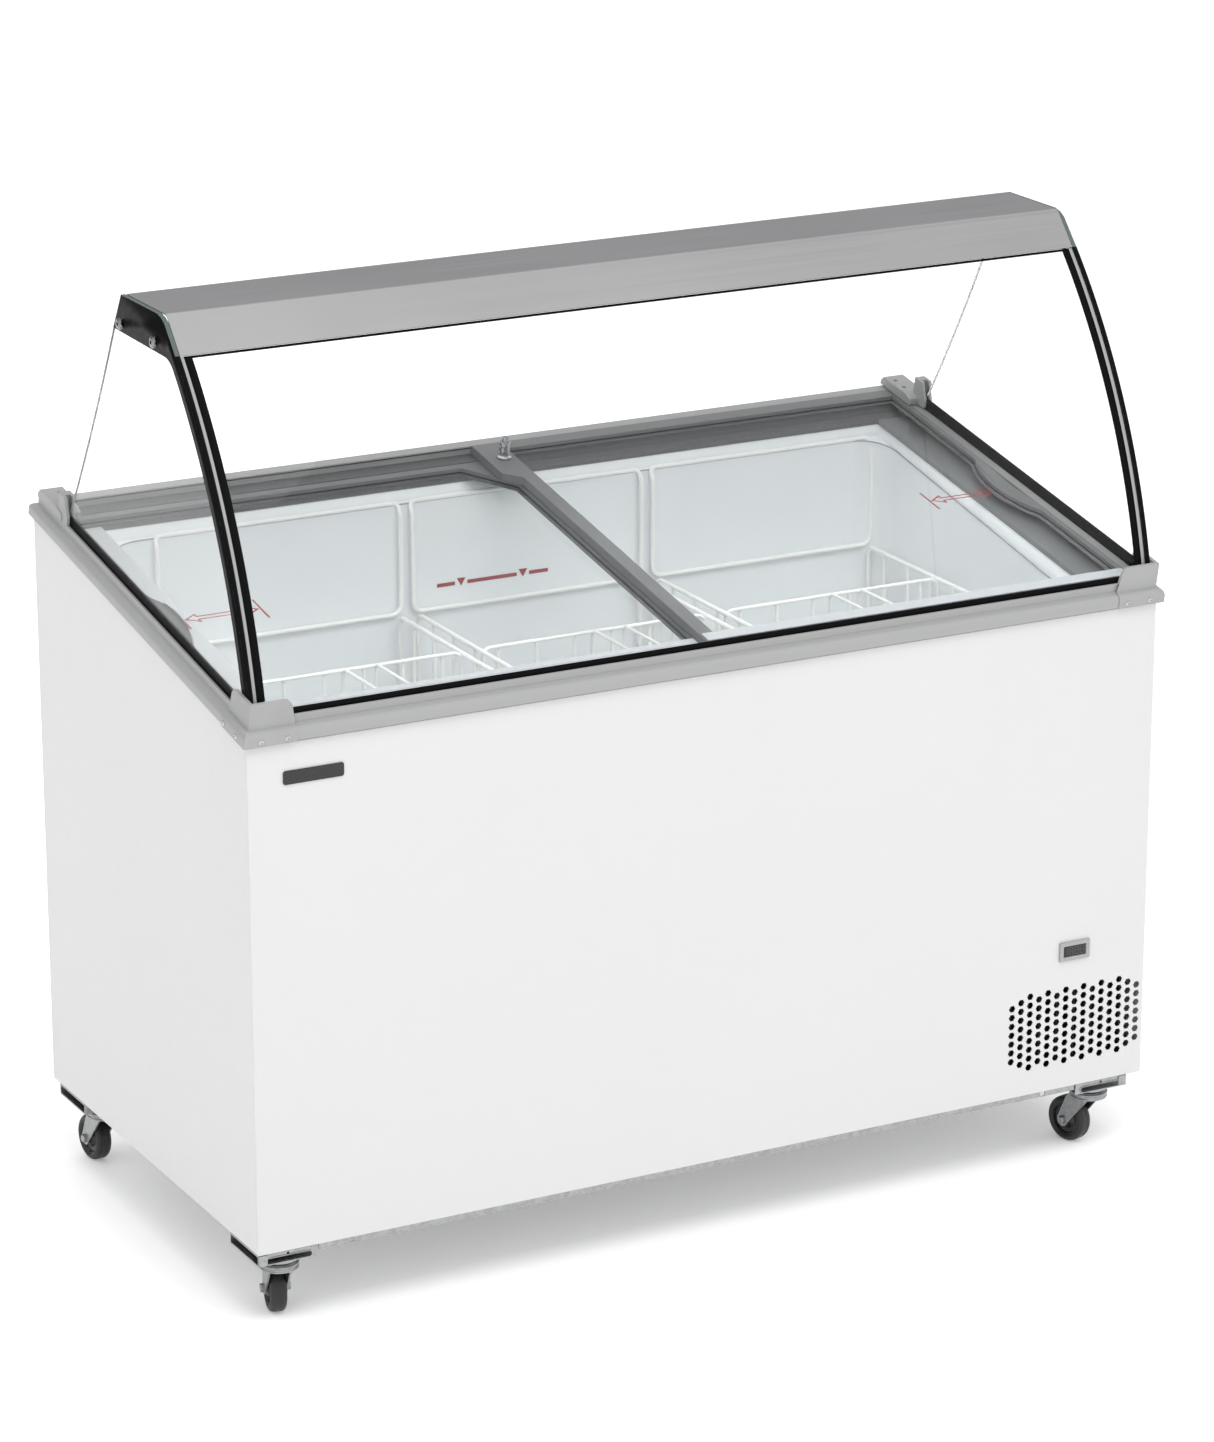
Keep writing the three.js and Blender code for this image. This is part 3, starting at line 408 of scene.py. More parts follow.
ALONG_X = (0.001, 1, 1)
ALONG_Y = (1, 0.001, 1)
RIM_GREY = (0.315, 0.317, 0.317)
LID_GREY = (0.160, 0.164, 0.168)
# Painted shade: the rear lid track is given a darker grey than the lid frames, for the shadow that
# lies on it under the lids.
TRACK_PAINTED_SHADE = (0.085, 0.088, 0.092)
PALE_TRIM = (0.50, 0.52, 0.54)
GLASS_TINT = (0.992, 1.0, 0.998)
# Painted shade: the dark colour given to the side panes' edges.
GLASS_EDGE_PAINTED_SHADE = (0.16, 0.20, 0.19)

glass = clear_glass("clear_glass", GLASS_TINT)
side_glass = clear_glass("side_glass", GLASS_TINT, GLASS_EDGE_PAINTED_SHADE)
black_enamel = black_print()
galvanised = galvanised_steel()
chrome = chrome_plate("chrome_plate", (0.46, 0.46, 0.47), (0.56, 0.56, 0.57))
# Painted shade: a darker copy of the chrome for the hood bolts, standing in for the black glass
# that their heads reflect.
chrome_painted_shade = chrome_plate("chrome_painted_shade", (0.20, 0.20, 0.205), (0.30, 0.30, 0.305))
wire_white = coated_wire()
rubber = tyre_rubber()
rim_across = extruded("rim_grey_across", RIM_GREY, 0.36, ALONG_X)
rim_deep = extruded("rim_grey_deep", RIM_GREY, 0.36, ALONG_Y)
rim_moulded = moulded("rim_grey_moulded", RIM_GREY, 0.40)
lid_deep = extruded("lid_grey_deep", LID_GREY, 0.40, ALONG_Y)
rear_track_painted_shade = extruded("rear_track_grey_painted_shade", TRACK_PAINTED_SHADE, 0.40, ALONG_X)
lid_moulded = moulded("lid_grey_moulded", LID_GREY, 0.42)
trim_pale = extruded("pale_trim_deep", PALE_TRIM, 0.40, ALONG_Y)
trim_pale_across = extruded("pale_trim_across", PALE_TRIM, 0.40, ALONG_X)
# Painted shade: blue-grey for the cord that stands in for the shadow line of the liner's crease.
crease_shade_grey = moulded("crease_shade_grey", (0.30, 0.33, 0.38), 0.50)
# Black for the lids' real glass seals, and also for the rim cord that is a painted shadow of the
# gap round the upper lid.
seal_rubber_and_gap_shade = moulded("seal_rubber_and_gap_shade", (0.010, 0.010, 0.011), 0.50)
display_black = moulded("display_black", (0.008, 0.008, 0.0085), 0.30)
red_ink = ink("red_print", (0.27, 0.008, 0.012), (0.36, 0.012, 0.018), (0.35, 0.5))
white_ink = ink("white_print", (0.78, 0.78, 0.78), (0.88, 0.88, 0.88), (0.4, 0.55))
segment_grey = ink(
    "display_segment", (0.055, 0.055, 0.056), (0.085, 0.085, 0.086), (0.2, 0.3), 900
)

SLOT_LOOKS = {
    "white_paint": white_paint(),
    "galvanised": galvanised,
    "foam": polyurethane_foam(),
    "liner": liner_sheet(),
    "rim_grey": rim_moulded,
    "lid_grey": lid_moulded,
    "clear_glass": glass,
    "hood_aluminium": brushed_aluminium(),
    "chrome": chrome,
    "coated_wire": wire_white,
    "black_plastic": moulded("black_plastic", (0.014, 0.014, 0.015), 0.28, 0.00002),
    "bezel_grey": moulded("bezel_grey", (0.34, 0.34, 0.345), 0.45),
    "black_tyre": rubber,
    "copper_tube": copper_tube(),
    "compressor_black": enamelled_black("compressor_black", 0.34),
    "condenser_black": enamelled_black("condenser_black", 0.55),
}

NODE_LOOKS = {
    "front_rail": rim_across,
    "rear_rail": rim_across,
    "left_rail": rim_deep,
    "right_rail": rim_deep,
    "left_joint_strip": rim_deep,
    "right_joint_strip": rim_deep,
    "front_lid_track": trim_pale_across,
    # Painted shade: the darker grey on the rear track stands for shadow.
    "rear_lid_track": rear_track_painted_shade,
    "left_side_trim": trim_pale,
    "right_side_trim": lid_deep,
    "left_side_glass": side_glass,
    "right_side_glass": side_glass,
    "thermometer_display": display_black,
}


# ------------------------------------------------------------------ carried-over CAD nodes

SHARP = math.radians(32)
EDGE_ROUND = {
    "front_panel": 0.0005,
    "rear_panel": 0.0004,
    "left_side_panel": 0.0004,
    "right_side_panel": 0.0004,
    "left_corner_cap": 0.0008,
    "right_corner_cap": 0.0008,
    "left_rear_bracket": 0.0009,
    "right_rear_bracket": 0.0009,
    "thermostat_knob": 0.0008,
    "badge_plate": 0.0006,
    "hood": 0.0004,
    "compressor": 0.002,
}
PLAIN_ROUND = 0.0004


def add_bevel(obj, width, segments=2):
    edge = obj.modifiers.new("edge", "BEVEL")
    edge.width = width
    edge.segments = segments
    edge.limit_method = "ANGLE"
    edge.angle_limit = SHARP
    edge.harden_normals = True


def add_weld(obj):
    weld = obj.modifiers.new("weld", "WELD")
    weld.merge_threshold = 0.00001


def round_edges(obj, width):
    """Welds the faces, clears flat seams, then rounds each sharp edge so that it catches light."""
    add_weld(obj)
    flatten = obj.modifiers.new("flatten", "DECIMATE")
    flatten.decimate_type = "DISSOLVE"
    flatten.angle_limit = math.radians(0.3)
    add_bevel(obj, width)


def smooth_faces(mesh):
    for polygon in mesh.polygons:
        polygon.use_smooth = True


def dress(mesh, material):
    """Gives a CAD mesh its one material, and drops the flat normals that it came with."""
    mesh.materials.clear()
    mesh.materials.append(material)
    if "custom_normal" in mesh.attributes:
        mesh.attributes.remove(mesh.attributes["custom_normal"])
    smooth_faces(mesh)


def finish_node(node, slot_name):
    obj = nodes[node]
    dress(obj.data, NODE_LOOKS.get(node, SLOT_LOOKS[slot_name]))
    round_edges(obj, EDGE_ROUND.get(node, PLAIN_ROUND))


# ------------------------------------------------------------------ mesh building


def link(name, data):
    """A new object in the scene."""
    obj = bpy.data.objects.new(name, data)
    bpy.context.scene.collection.objects.link(obj)
    return obj


def bmesh_to_mesh(name, bm):
    mesh = bpy.data.meshes.new(name)
    bm.to_mesh(mesh)
    bm.free()
    return mesh


def make_piece(name, bm, body, material, sharp=SHARP):
    """Turns a bmesh into a named object that rides on a body."""
    bmesh.ops.recalc_face_normals(bm, faces=bm.faces)
    mesh = bmesh_to_mesh(name, bm)
    mesh.materials.append(material)
    smooth_faces(mesh)
    mesh.set_sharp_from_angle(angle=sharp)
    obj = link(name, mesh)
    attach(obj, body)
    return obj


def thicken(obj, thickness, offset=0):
    """Makes a solid sheet of an open mesh."""
    skin = obj.modifiers.new("skin", "SOLIDIFY")
    skin.thickness = thickness
    skin.offset = offset


def rectangle(x0, x1, y0, y1):
    return [(x0, y0), (x1, y0), (x1, y1), (x0, y1)]


def bridge(bm, first, second, closed=True):
    """Faces between two rings of the same number of vertices."""
    count = len(first)
    last = count if closed else count - 1
    for i in range(last):
        j = (i + 1) % count
        bm.faces.new((first[i], first[j], second[j], second[i]))


def add_prism(bm, outline, thickness, matrix):
    """A flat outline in x and y, thickened upward along z."""
    low = [bm.verts.new(matrix @ Vector((x, y, 0))) for x, y in outline]
    high = [bm.verts.new(matrix @ Vector((x, y, thickness))) for x, y in outline]
    bm.faces.new(low[::-1])
    bm.faces.new(high)
    bridge(bm, low, high)


def add_lathe(bm, profile, matrix, segments=32, closed=False):
    """Turns a profile of (radius, height) round z. Ends on the axis become a single point."""
    rings = []
    for radius, height in profile:
        if radius == 0:
            rings.append([bm.verts.new(matrix @ Vector((0, 0, height)))])
            continue
        rings.append([
            bm.verts.new(matrix @ Vector((
                radius * math.cos(2 * math.pi * i / segments),
                radius * math.sin(2 * math.pi * i / segments),
                height,
            )))
            for i in range(segments)
        ])
    pairs = list(zip(rings, rings[1:]))
    if closed:
        pairs.append((rings[-1], rings[0]))
    for first, second in pairs:
        if len(first) == 1 or len(second) == 1:
            tip, rim = (first, second) if len(first) == 1 else (second, first)
            for i in range(segments):
                bm.faces.new((tip[0], rim[i], rim[(i + 1) % segments]))
        else:
            bridge(bm, first, second)


def aim(location, direction):
    """A matrix whose z points along a direction."""
    turn = Vector(direction).to_track_quat("Z", "Y").to_matrix().to_4x4()
    return Matrix.Translation(location) @ turn


def circle_arc(centre, radius, start, end, steps):
    return [
        Vector((
            centre[0] + radius * math.cos(start + (end - start) * i / steps),
            centre[1] + radius * math.sin(start + (end - start) * i / steps),
        ))
        for i in range(steps + 1)
    ]


def rounded_rectangle(x0, x1, y0, y1, radius, steps=6):
    quarter = math.pi / 2
    corners = [
        (x1 - radius, y0 + radius, -quarter),
        (x1 - radius, y1 - radius, 0),
        (x0 + radius, y1 - radius, quarter),
        (x0 + radius, y0 + radius, 2 * quarter),
    ]
    points = []
    for x, y, start in corners:
        points += circle_arc((x, y), radius, start, start + quarter, steps)
    return points


def rounded_path(points, radius, closed, steps=5):
    """Replaces each corner of a path by an arc."""
    points = [Vector(point) for point in points]
    count = len(points)
    result = []
    for i, point in enumerate(points):
        if not closed and i in (0, count - 1):
            result.append(point)
            continue
        before = points[i - 1] - point
        after = points[(i + 1) % count] - point
        angle = before.angle(after)
        if angle > math.radians(178):
            result.append(point)
            continue
        reach = min(radius / math.tan(angle / 2), before.length * 0.48, after.length * 0.48)
        bend = reach * math.tan(angle / 2)
        centre = point + (before.normalized() + after.normalized()).normalized() * (
            bend / math.sin(angle / 2)
        )
        start = point + before.normalized() * reach - centre
        end = point + after.normalized() * reach - centre
        sweep = start.angle(end)
        for step in range(steps + 1):
            share = step / steps
            result.append(centre + (
                start * math.sin((1 - share) * sweep) + end * math.sin(share * sweep)
            ) / math.sin(sweep))
    return result


def add_wire(bm, points, radius, bend=0.012, closed=False, sides=10):
    """A round wire along a path whose corners are bent to a radius."""
    path = rounded_path(points, bend, closed)
    count = len(path)
    tangents = []
    for i in range(count):
        ahead = path[(i + 1) % count] if closed or i < count - 1 else path[i]
        behind = path[i - 1] if closed or i > 0 else path[i]
        tangents.append((ahead - behind).normalized())
    side = tangents[0].orthogonal().normalized()
    rings = []
    for point, tangent in zip(path, tangents):
        side = (side - tangent * side.dot(tangent)).normalized()
        other = tangent.cross(side)
        rings.append([
            bm.verts.new(point + radius * (
                side * math.cos(2 * math.pi * i / sides) + other * math.sin(2 * math.pi * i / sides)
            ))
            for i in range(sides)
        ])
    for first, second in zip(rings, rings[1:]):
        bridge(bm, first, second)
    if closed:
        close_ring(bm, rings[-1], rings[0])
    else:
        cap_wire(bm, rings[0], path[0], -tangents[0], radius)
        cap_wire(bm, rings[-1], path[-1], tangents[-1], radius)


def close_ring(bm, last, first):
    """Joins the ends of a closed wire with the least twist."""
    count = len(first)
    turn = min(range(count), key=lambda k: (first[k].co - last[0].co).length)
    bridge(bm, last, first[turn:] + first[:turn])


def cap_wire(bm, ring, centre, outward, radius):
    """A rounded end on a wire."""
    shrink = 0.6
    step = outward * radius * 0.7
    inner = [bm.verts.new(centre + (v.co - centre) * shrink + step) for v in ring]
    tip = bm.verts.new(centre + outward * radius)
    bridge(bm, ring, inner)
    for i in range(len(ring)):
        bm.faces.new((inner[i], inner[(i + 1) % len(ring)], tip))


def add_screw(bm, location, direction, radius, height):
    """A pan-head screw with a cross recess."""
    segments = 24
    arm = 1
    recess = 0.55
    matrix = aim(location, direction)
    shares = [0.14, 0.3, 0.45, 0.52, 0.7, 0.88, 1.0, 1.0]
    lifts = [1.0, 0.99, 0.97, 0.96, 0.88, 0.66, 0.3, 0.0]
    rings = []
    for share, lift in zip(shares, lifts):
        ring = []
        for i in range(segments):
            angle = 2 * math.pi * i / segments
            quarter = i % (segments // 4)
            in_arm = min(quarter, segments // 4 - quarter) <= arm
            sunk = share < 0.5 and (in_arm or share < 0.2)
            depth = height * (lift - (recess if sunk else 0))
            ring.append(bm.verts.new(matrix @ Vector((
                radius * share * math.cos(angle),
                radius * share * math.sin(angle),
                depth,
            ))))
        rings.append(ring)
    tip = bm.verts.new(matrix @ Vector((0, 0, height * 0.4)))
    for i in range(segments):
        bm.faces.new((tip, rings[0][i], rings[0][(i + 1) % segments]))
    for first, second in zip(rings, rings[1:]):
        bridge(bm, first, second)
    bm.faces.new(rings[-1])


def add_hexagon(bm, location, direction, across, height):
    """A hexagon head with a domed, chamfered top."""
    matrix = aim(location, direction)
    reach = across / math.sqrt(3)
    profile = [(reach, 0), (reach, height * 0.75), (reach * 0.86, height), (0, height)]
    add_lathe(bm, [(0, 0)] + profile, matrix, 6)


def turned_piece(name, profile, matrix, segments, body, material):
    """A ring turned from a closed profile."""
    bm = bmesh.new()
    add_lathe(bm, profile, matrix, segments, closed=True)
    return make_piece(name, bm, body, material)


def bead(name, path, radius, bend, body, material):
    """A thin round cord laid along a closed path."""
    bm = bmesh.new()
    add_wire(bm, path, radius, bend, closed=True, sides=8)
    make_piece(name, bm, body, material)


def carve(node, name, cutter_bm, material):
    """A copy of a CAD node with a shape cut out of it, which then stands for the node."""
    bmesh.ops.recalc_face_normals(cutter_bm, faces=cutter_bm.faces)
    cutter = link(name + "_cutter", bmesh_to_mesh(name + "_cutter", cutter_bm))
    source = link(name + "_source", nodes[node].data.copy())
    add_weld(source)
    cut = source.modifiers.new("cut", "BOOLEAN")
    cut.operation = "DIFFERENCE"
    cut.solver = "EXACT"
    cut.object = cutter
    bpy.context.view_layer.update()
    graph = bpy.context.evaluated_depsgraph_get()
    mesh = bpy.data.meshes.new_from_object(source.evaluated_get(graph))
    mesh.name = name
    for obj in (cutter, source):
        bpy.data.objects.remove(obj)
    dress(mesh, material)
    piece = link(name, mesh)
    round_edges(piece, EDGE_ROUND.get(node, PLAIN_ROUND))
    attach(piece, body_of_node(node))
    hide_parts(node)


def body_of_node(node):
    """The name of the body that a CAD node belongs to."""
    for body, members in frame["record"]["behaviour"]["bodies"].items():
        if node in members:
            return body
    raise ValueError("no body holds " + node)


# ------------------------------------------------------------------ liner


def liner():
    """The well of the cabinet: rounded upright corners, a shelf over the machine compartment,
    and a step near the rim that the baskets hang on."""
    corner_steps = 8
    rim_corner = 0.004
    swage = 0.001
    fillet = 0.010
    fillet_steps = 4
    hair = 0.0002
    y0, y1 = LINER_FRONT, LINER_REAR

    def ledge_height(y):
        share = (y - y0) / (y1 - y0)
        return FRONT_LEDGE + (REAR_LEDGE - FRONT_LEDGE) * share

    def loop(x0, x1, grow_x, grow_y, height, radius=LINER_CORNER):
        outline = rounded_rectangle(
            x0 - grow_x, x1 + grow_x, y0 - grow_y, y1 + grow_y, radius, corner_steps
        )
        return [(p.x, p.y, height(p.y) if callable(height) else height) for p in outline]

    loops = []
    for step in range(fillet_steps + 1):
        angle = math.pi / 2 * step / fillet_steps
        inset = -fillet * (1 - math.sin(angle)) - swage
        rise = fillet * (1 - math.cos(angle))
        loops.append(loop(-LINER_X, LINER_STEP_X, inset, inset, LINER_FLOOR + rise))
    loops.append(loop(-LINER_X, LINER_STEP_X, -swage, -swage, LINER_STEP_FLOOR))
    loops.append(loop(-LINER_X, LINER_X, 0, 0, LINER_STEP_FLOOR + hair))
    loops.append(loop(-LINER_X, LINER_X, 0, 0, ledge_height))
    for height in (lambda y: ledge_height(y) + hair, lambda y: top_height(y, 2 * hair)):
        loops.append(loop(-LINER_X, LINER_X, swage, LEDGE, height, rim_corner))

    bm = bmesh.new()
    rings = [[bm.verts.new(point) for point in points] for points in loops]
    bm.faces.new(rings[0])
    for first, second in zip(rings, rings[1:]):
        bridge(bm, first, second)
    piece = make_piece("liner_shell", bm, "cabinet", SLOT_LOOKS["liner"])
    add_bevel(piece, 0.0022, 3)
    thicken(piece, 0.0012, 1.0 if outward_normals(piece) else -1.0)
    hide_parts("inner_liner")


def liner_crease_shade_line():
    """A grey cord round the liner at its step: a painted shadow line along the pressed crease
    there.
    """
    rise = (REAR_LEDGE - FRONT_LEDGE) / (LINER_REAR - LINER_FRONT)
    outline = rounded_rectangle(-LINER_X, LINER_X, LINER_FRONT, LINER_REAR, LINER_CORNER, 8)
    path = [(p.x, p.y, FRONT_LEDGE + (p.y - LINER_FRONT) * rise) for p in outline]
    bead("liner_crease_shade_line", path, 0.0010, 0.002, "cabinet", crease_shade_grey)


def outward_normals(obj):
    """True if the faces of an open shell look away from its middle."""
    middle = sum((v.co for v in obj.data.vertices), Vector()) / len(obj.data.vertices)
    return sum(p.area * p.normal.dot(p.center - middle) for p in obj.data.polygons) > 0


def load_line():
    """The red fill line on the liner's rear wall, broken by two small arrows."""
    y = LINER_REAR - 0.0004
    height = 0.7305
    half_line = 0.0025
    arrow_half = 0.0065
    arrow_low, arrow_high = -0.0045, 0.0065
    thick = 0.0002
    matrix = Matrix.Translation((0, y, height)) @ Matrix.Rotation(math.pi / 2, 4, "X")
    bm = bmesh.new()
    for x0, x1 in ((-0.106, -0.0795), (-0.0610, 0.0130), (0.0315, 0.0600)):
        add_prism(bm, rectangle(x0, x1, -half_line, half_line), thick, matrix)
    for x in (-0.0702, 0.0222):
        arrow = [(x, arrow_low), (x + arrow_half, arrow_high), (x - arrow_half, arrow_high)]
        add_prism(bm, arrow, thick, matrix)
    make_piece("load_line", bm, "cabinet", red_ink)


# ------------------------------------------------------------------ baskets


def wire_piece(name, bm, place):
    """A piece of welded wire, smooth all over, that rides on a basket's body."""
    return make_piece(name, bm, place + "_basket", wire_white, math.pi)


def hoop(x0, x1, y, hang_y, top):
    """A closed hoop standing on the basket's rim, its top bar set out to hang on the liner."""
    shoulder = top - 0.018
    return [
        (x0, y, BASKET_RIM - FRAME_WIRE),
        (x1, y, BASKET_RIM - FRAME_WIRE),
        (x1, y, shoulder),
        (x1, hang_y, top - FRAME_WIRE),
        (x0, hang_y, top - FRAME_WIRE),
        (x0, y, shoulder),
    ]


def basket_mesh(bm, x0, x1, y0, y1):
    """Bent mesh wires: each runs up one side, along the rim, down, and across the floor."""
    weld = 0.0003
    bend = 0.008
    low = BASKET_FLOOR + MESH_WIRE
    high = BASKET_RIM - FRAME_WIRE - MESH_WIRE
    inset = FRAME_WIRE + MESH_WIRE - weld
    left, right = x0 + inset, x1 - inset
    hairpin = 0.062
    pitch = 0.122
    first = y1 - 0.048
    for i in range(4):
        ya = first - i * pitch
        yb = ya - hairpin
        add_wire(bm, [
            (left, ya, low), (left, ya, high), (left, yb, high), (left, yb, low),
            (right, yb, low), (right, yb, high), (right, ya, high), (right, ya, low),
        ], MESH_WIRE, bend, closed=True, sides=8)
    runs = 6
    above = low + 2 * MESH_WIRE - weld
    for i in range(runs):
        x = x0 + (x1 - x0) * (i + 0.5) / runs
        path = [(x, y0 + inset, high), (x, y0 + inset, above), (x, y1 - inset, above)]
        add_wire(bm, path, MESH_WIRE, bend, sides=8)


def basket(place, centre):
    """A wire basket: two tall hoops, two side runners, a floor loop and the mesh."""
    x0 = centre - BASKET_HALF + FRAME_WIRE
    x1 = centre + BASKET_HALF - FRAME_WIRE
    y0 = BASKET_FRONT + FRAME_WIRE
    y1 = BASKET_REAR - FRAME_WIRE
    bm = bmesh.new()
    rear_bar = BASKET_REAR + HANGER - FRAME_WIRE
    front_bar = BASKET_FRONT - HANGER + FRAME_WIRE
    add_wire(bm, hoop(x0, x1, y1, rear_bar, REAR_HOOP_TOP), FRAME_WIRE, 0.014, closed=True)
    add_wire(bm, hoop(x0, x1, y0, front_bar, FRONT_HOOP_TOP), FRAME_WIRE, 0.010, closed=True)
    rim = BASKET_RIM - FRAME_WIRE
    foot = BASKET_FLOOR + FRAME_WIRE
    top = rim - 0.0025
    inset = 0.0045
    near, far = y0 + inset, y1 - inset
    for x in (x0 + inset, x1 - inset):
        runner = [(x, far, foot), (x, far, top), (x, near, top), (x, near, foot)]
        add_wire(bm, runner, FRAME_WIRE, 0.012)
    floor_loop = [(x, y, foot) for x, y in rectangle(x0, x1, y0, y1)]
    add_wire(bm, floor_loop, FRAME_WIRE, 0.025, closed=True)
    basket_mesh(bm, x0, x1, y0, y1)
    piece = wire_piece(place + "_basket_wires", bm, place)
    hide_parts(place + "_basket")


def basket_divider(place, centre):
    """A cross bar with hanging hairpins, and two runners that hook over the front rim."""
    left, right = centre - BASKET_HALF + 0.010, centre + BASKET_HALF - 0.010
    top = BASKET_RIM - FRAME_WIRE - 0.0004
    foot = DIVIDER_FOOT + MESH_WIRE
    y = DIVIDER_Y
    bm = bmesh.new()
    frame_path = [(left, y, foot), (left, y, top), (right, y, top), (right, y, foot)]
    add_wire(bm, frame_path, 0.0024, 0.012)
    add_wire(bm, [(left, y, foot), (right, y, foot)], MESH_WIRE)
    behind = y + 0.0040
    under = top - 0.001
    half_width = 0.028
    pitch = 0.112
    for step in (-1, 0, 1):
        a = centre + step * pitch - half_width
        b = centre + step * pitch + half_width
        hairpin = [(a, behind, foot), (a, behind, under), (b, behind, under), (b, behind, foot)]
        add_wire(bm, hairpin, MESH_WIRE, 0.007, sides=8)
    rear = y + 0.0030
    front = BASKET_FRONT + 0.0090
    over = BASKET_RIM - 0.0020
    hook = 0.022
    for x in (centre - 0.002, centre + 0.044):
        runner = [(x, rear, foot), (x, rear, over), (x, front, over), (x, front, over - hook)]
        add_wire(bm, runner, 0.0022, 0.009)
    piece = wire_piece(place + "_divider_wires", bm, place)
    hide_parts(place + "_basket_divider")


# ------------------------------------------------------------------ canopy


def front_arc(inward, steps, lift=0.0):
    """The side view of the curved front, from foot to head, moved inward."""
    chord = GLASS_HEAD - GLASS_FOOT
    rise = math.sqrt(GLASS_RADIUS**2 - (chord.length / 2) ** 2)
    square = Vector((chord.y, -chord.x)).normalized()
    centre = (GLASS_FOOT + GLASS_HEAD) / 2 + square * rise
    foot = math.atan2(GLASS_FOOT.y - centre.y, GLASS_FOOT.x - centre.x) - lift / GLASS_RADIUS
    head = math.atan2(GLASS_HEAD.y - centre.y, GLASS_HEAD.x - centre.x)
    return circle_arc(centre, GLASS_RADIUS - inward, foot, head, steps)


def add_faces(bm, x, polygons):
    """Flat polygons in the canopy's side view, which share the vertices where they meet."""
    verts = {}
    for polygon in polygons:
        corners = []
        for point in polygon:
            key = (round(point.x, 6), round(point.y, 6))
            if key not in verts:
                verts[key] = bm.verts.new(canopy_point(x, point))
            corners.append(verts[key])
        bm.faces.new(corners)


def print_skin(name, bm):
    """Thickens an open mesh into a layer of black enamel."""
    piece = make_piece(name, bm, "cabinet", black_enamel)
    thicken(piece, PRINT_THICK)


def side_print_polygons():
    """A side glass's black border: the band along its curved front edge, the band along its foot,
    and the plate that covers the hood's end, with a fillet between plate and band."""
    steps = 28
    outer = front_arc(0.0003, steps)
    inner = front_arc(PRINT_BAND, steps, 0.025)
    plate_corner = Vector((0.2172, 1.0784))
    plate_foot = Vector((0.3905, 1.0815))
    plate_nose = Vector((0.231, 1.1195))
    plate_top = HOOD_TOP - 0.0015
    last = steps - 2
    fillet = rounded_path([inner[last], plate_corner, plate_foot], 0.035, False, 8)[1:-1]
    polygons = [[outer[i], outer[i + 1], inner[i + 1], inner[i]] for i in range(last)]
    polygons.append(outer[last:] + [plate_nose] + fillet[::-1] + [inner[last]])
    polygons.append([
        fillet[-1],
        plate_foot,
        Vector((HOOD_REAR + 0.0035, plate_top)),
        Vector((0.252, plate_top)),
        Vector((0.240, plate_top - 0.003)),
        plate_nose,
    ])
    foot_low = 0.0235
    foot_high = 0.0455
    low_front = slope_point(0.0075, foot_low)
    low_inner = slope_point(0.0331, foot_low)
    polygons.append([low_front, low_inner, inner[0], outer[0]])
    rear = [slope_point(0.5835, foot_low), slope_point(0.5793, foot_high)]
    polygons.append([low_inner] + rear + [inner[0]])
    return polygons


def side_prints():
    """The border on both faces of each side glass, and the black front edge between them."""
    off = PRINT_THICK
    polygons = side_print_polygons()
    edge_rows = front_arc(-off, 40, 0.002)
    for side, sign in (("left", -1), ("right", 1)):
        outer_x = sign * (HALF - GLASS_OUT + off)
        inner_x = sign * (HALF - GLASS_OUT - GLASS_THICK - off)
        bm = bmesh.new()
        add_faces(bm, outer_x, polygons)
        add_faces(bm, inner_x, polygons)
        outer_end = [bm.verts.new(canopy_point(outer_x, row)) for row in edge_rows]
        inner_end = [bm.verts.new(canopy_point(inner_x, row)) for row in edge_rows]
        bridge(bm, outer_end, inner_end, closed=False)
        print_skin(side + "_glass_print", bm)


def front_print():
    """The black border of the front glass: up both sides, along its foot and under the hood."""
    steps = 40
    foot_lift = 0.0120
    head_drop = 0.0035
    edge = HALF - FRONT_GLASS_SIDE
    columns = [-edge, -edge + FRONT_PRINT_BAND, edge - FRONT_PRINT_BAND, edge]
    inward = FRONT_GLASS_OUTER - PRINT_THICK
    arc = front_arc(inward, steps)
    rise = front_arc(inward, steps, foot_lift)[0]
    drop = arc[-1] + (arc[-2] - arc[-1]).normalized() * head_drop
    rows = [arc[0], rise] + [p for p in arc[:-1] if p.y > rise.y + 0.004] + [drop, arc[-1]]
    bm = bmesh.new()
    grid = [[bm.verts.new(canopy_point(x, row)) for x in columns] for row in rows]
    last = len(rows) - 2
    for i in range(len(rows) - 1):
        for j in range(3):
            if j == 1 and 0 < i < last:
                continue
            bm.faces.new((grid[i][j], grid[i][j + 1], grid[i + 1][j + 1], grid[i + 1][j]))
    print_skin("front_glass_print", bm)


def hood_bolts():
    """Two bolts through each side glass into the hood's end: a slim neck on a washer, and a broad
    domed head with a round socket that stands clear of the glass."""
    bm = bmesh.new()
    washer = [(0, 0), (0.0058, 0), (0.0058, 0.0008), (0.0036, 0.0012)]
    head = [
        (0.0034, 0.0028), (0.0068, 0.0030), (0.0078, 0.0038), (0.0076, 0.0052), (0.0064, 0.0063),
        (0.0038, 0.0069), (0.0026, 0.0069), (0.0024, 0.0044), (0, 0.0044),
    ]
    rear_bolt = (0.361, 1.0926)
    front_bolt = (0.258, 1.0917)
    for sign in (-1, 1):
        x = sign * (HALF - GLASS_OUT + PRINT_THICK)
        for point in (rear_bolt, front_bolt):
            add_lathe(bm, washer + head, aim(canopy_point(x, point), (sign, 0, 0)), 30)
    # The bolts take the darker chrome copy, a painted reflection of the black plate round them.
    make_piece("hood_bolts", bm, "cabinet", chrome_painted_shade)


# ------------------------------------------------------------------ rim and lids


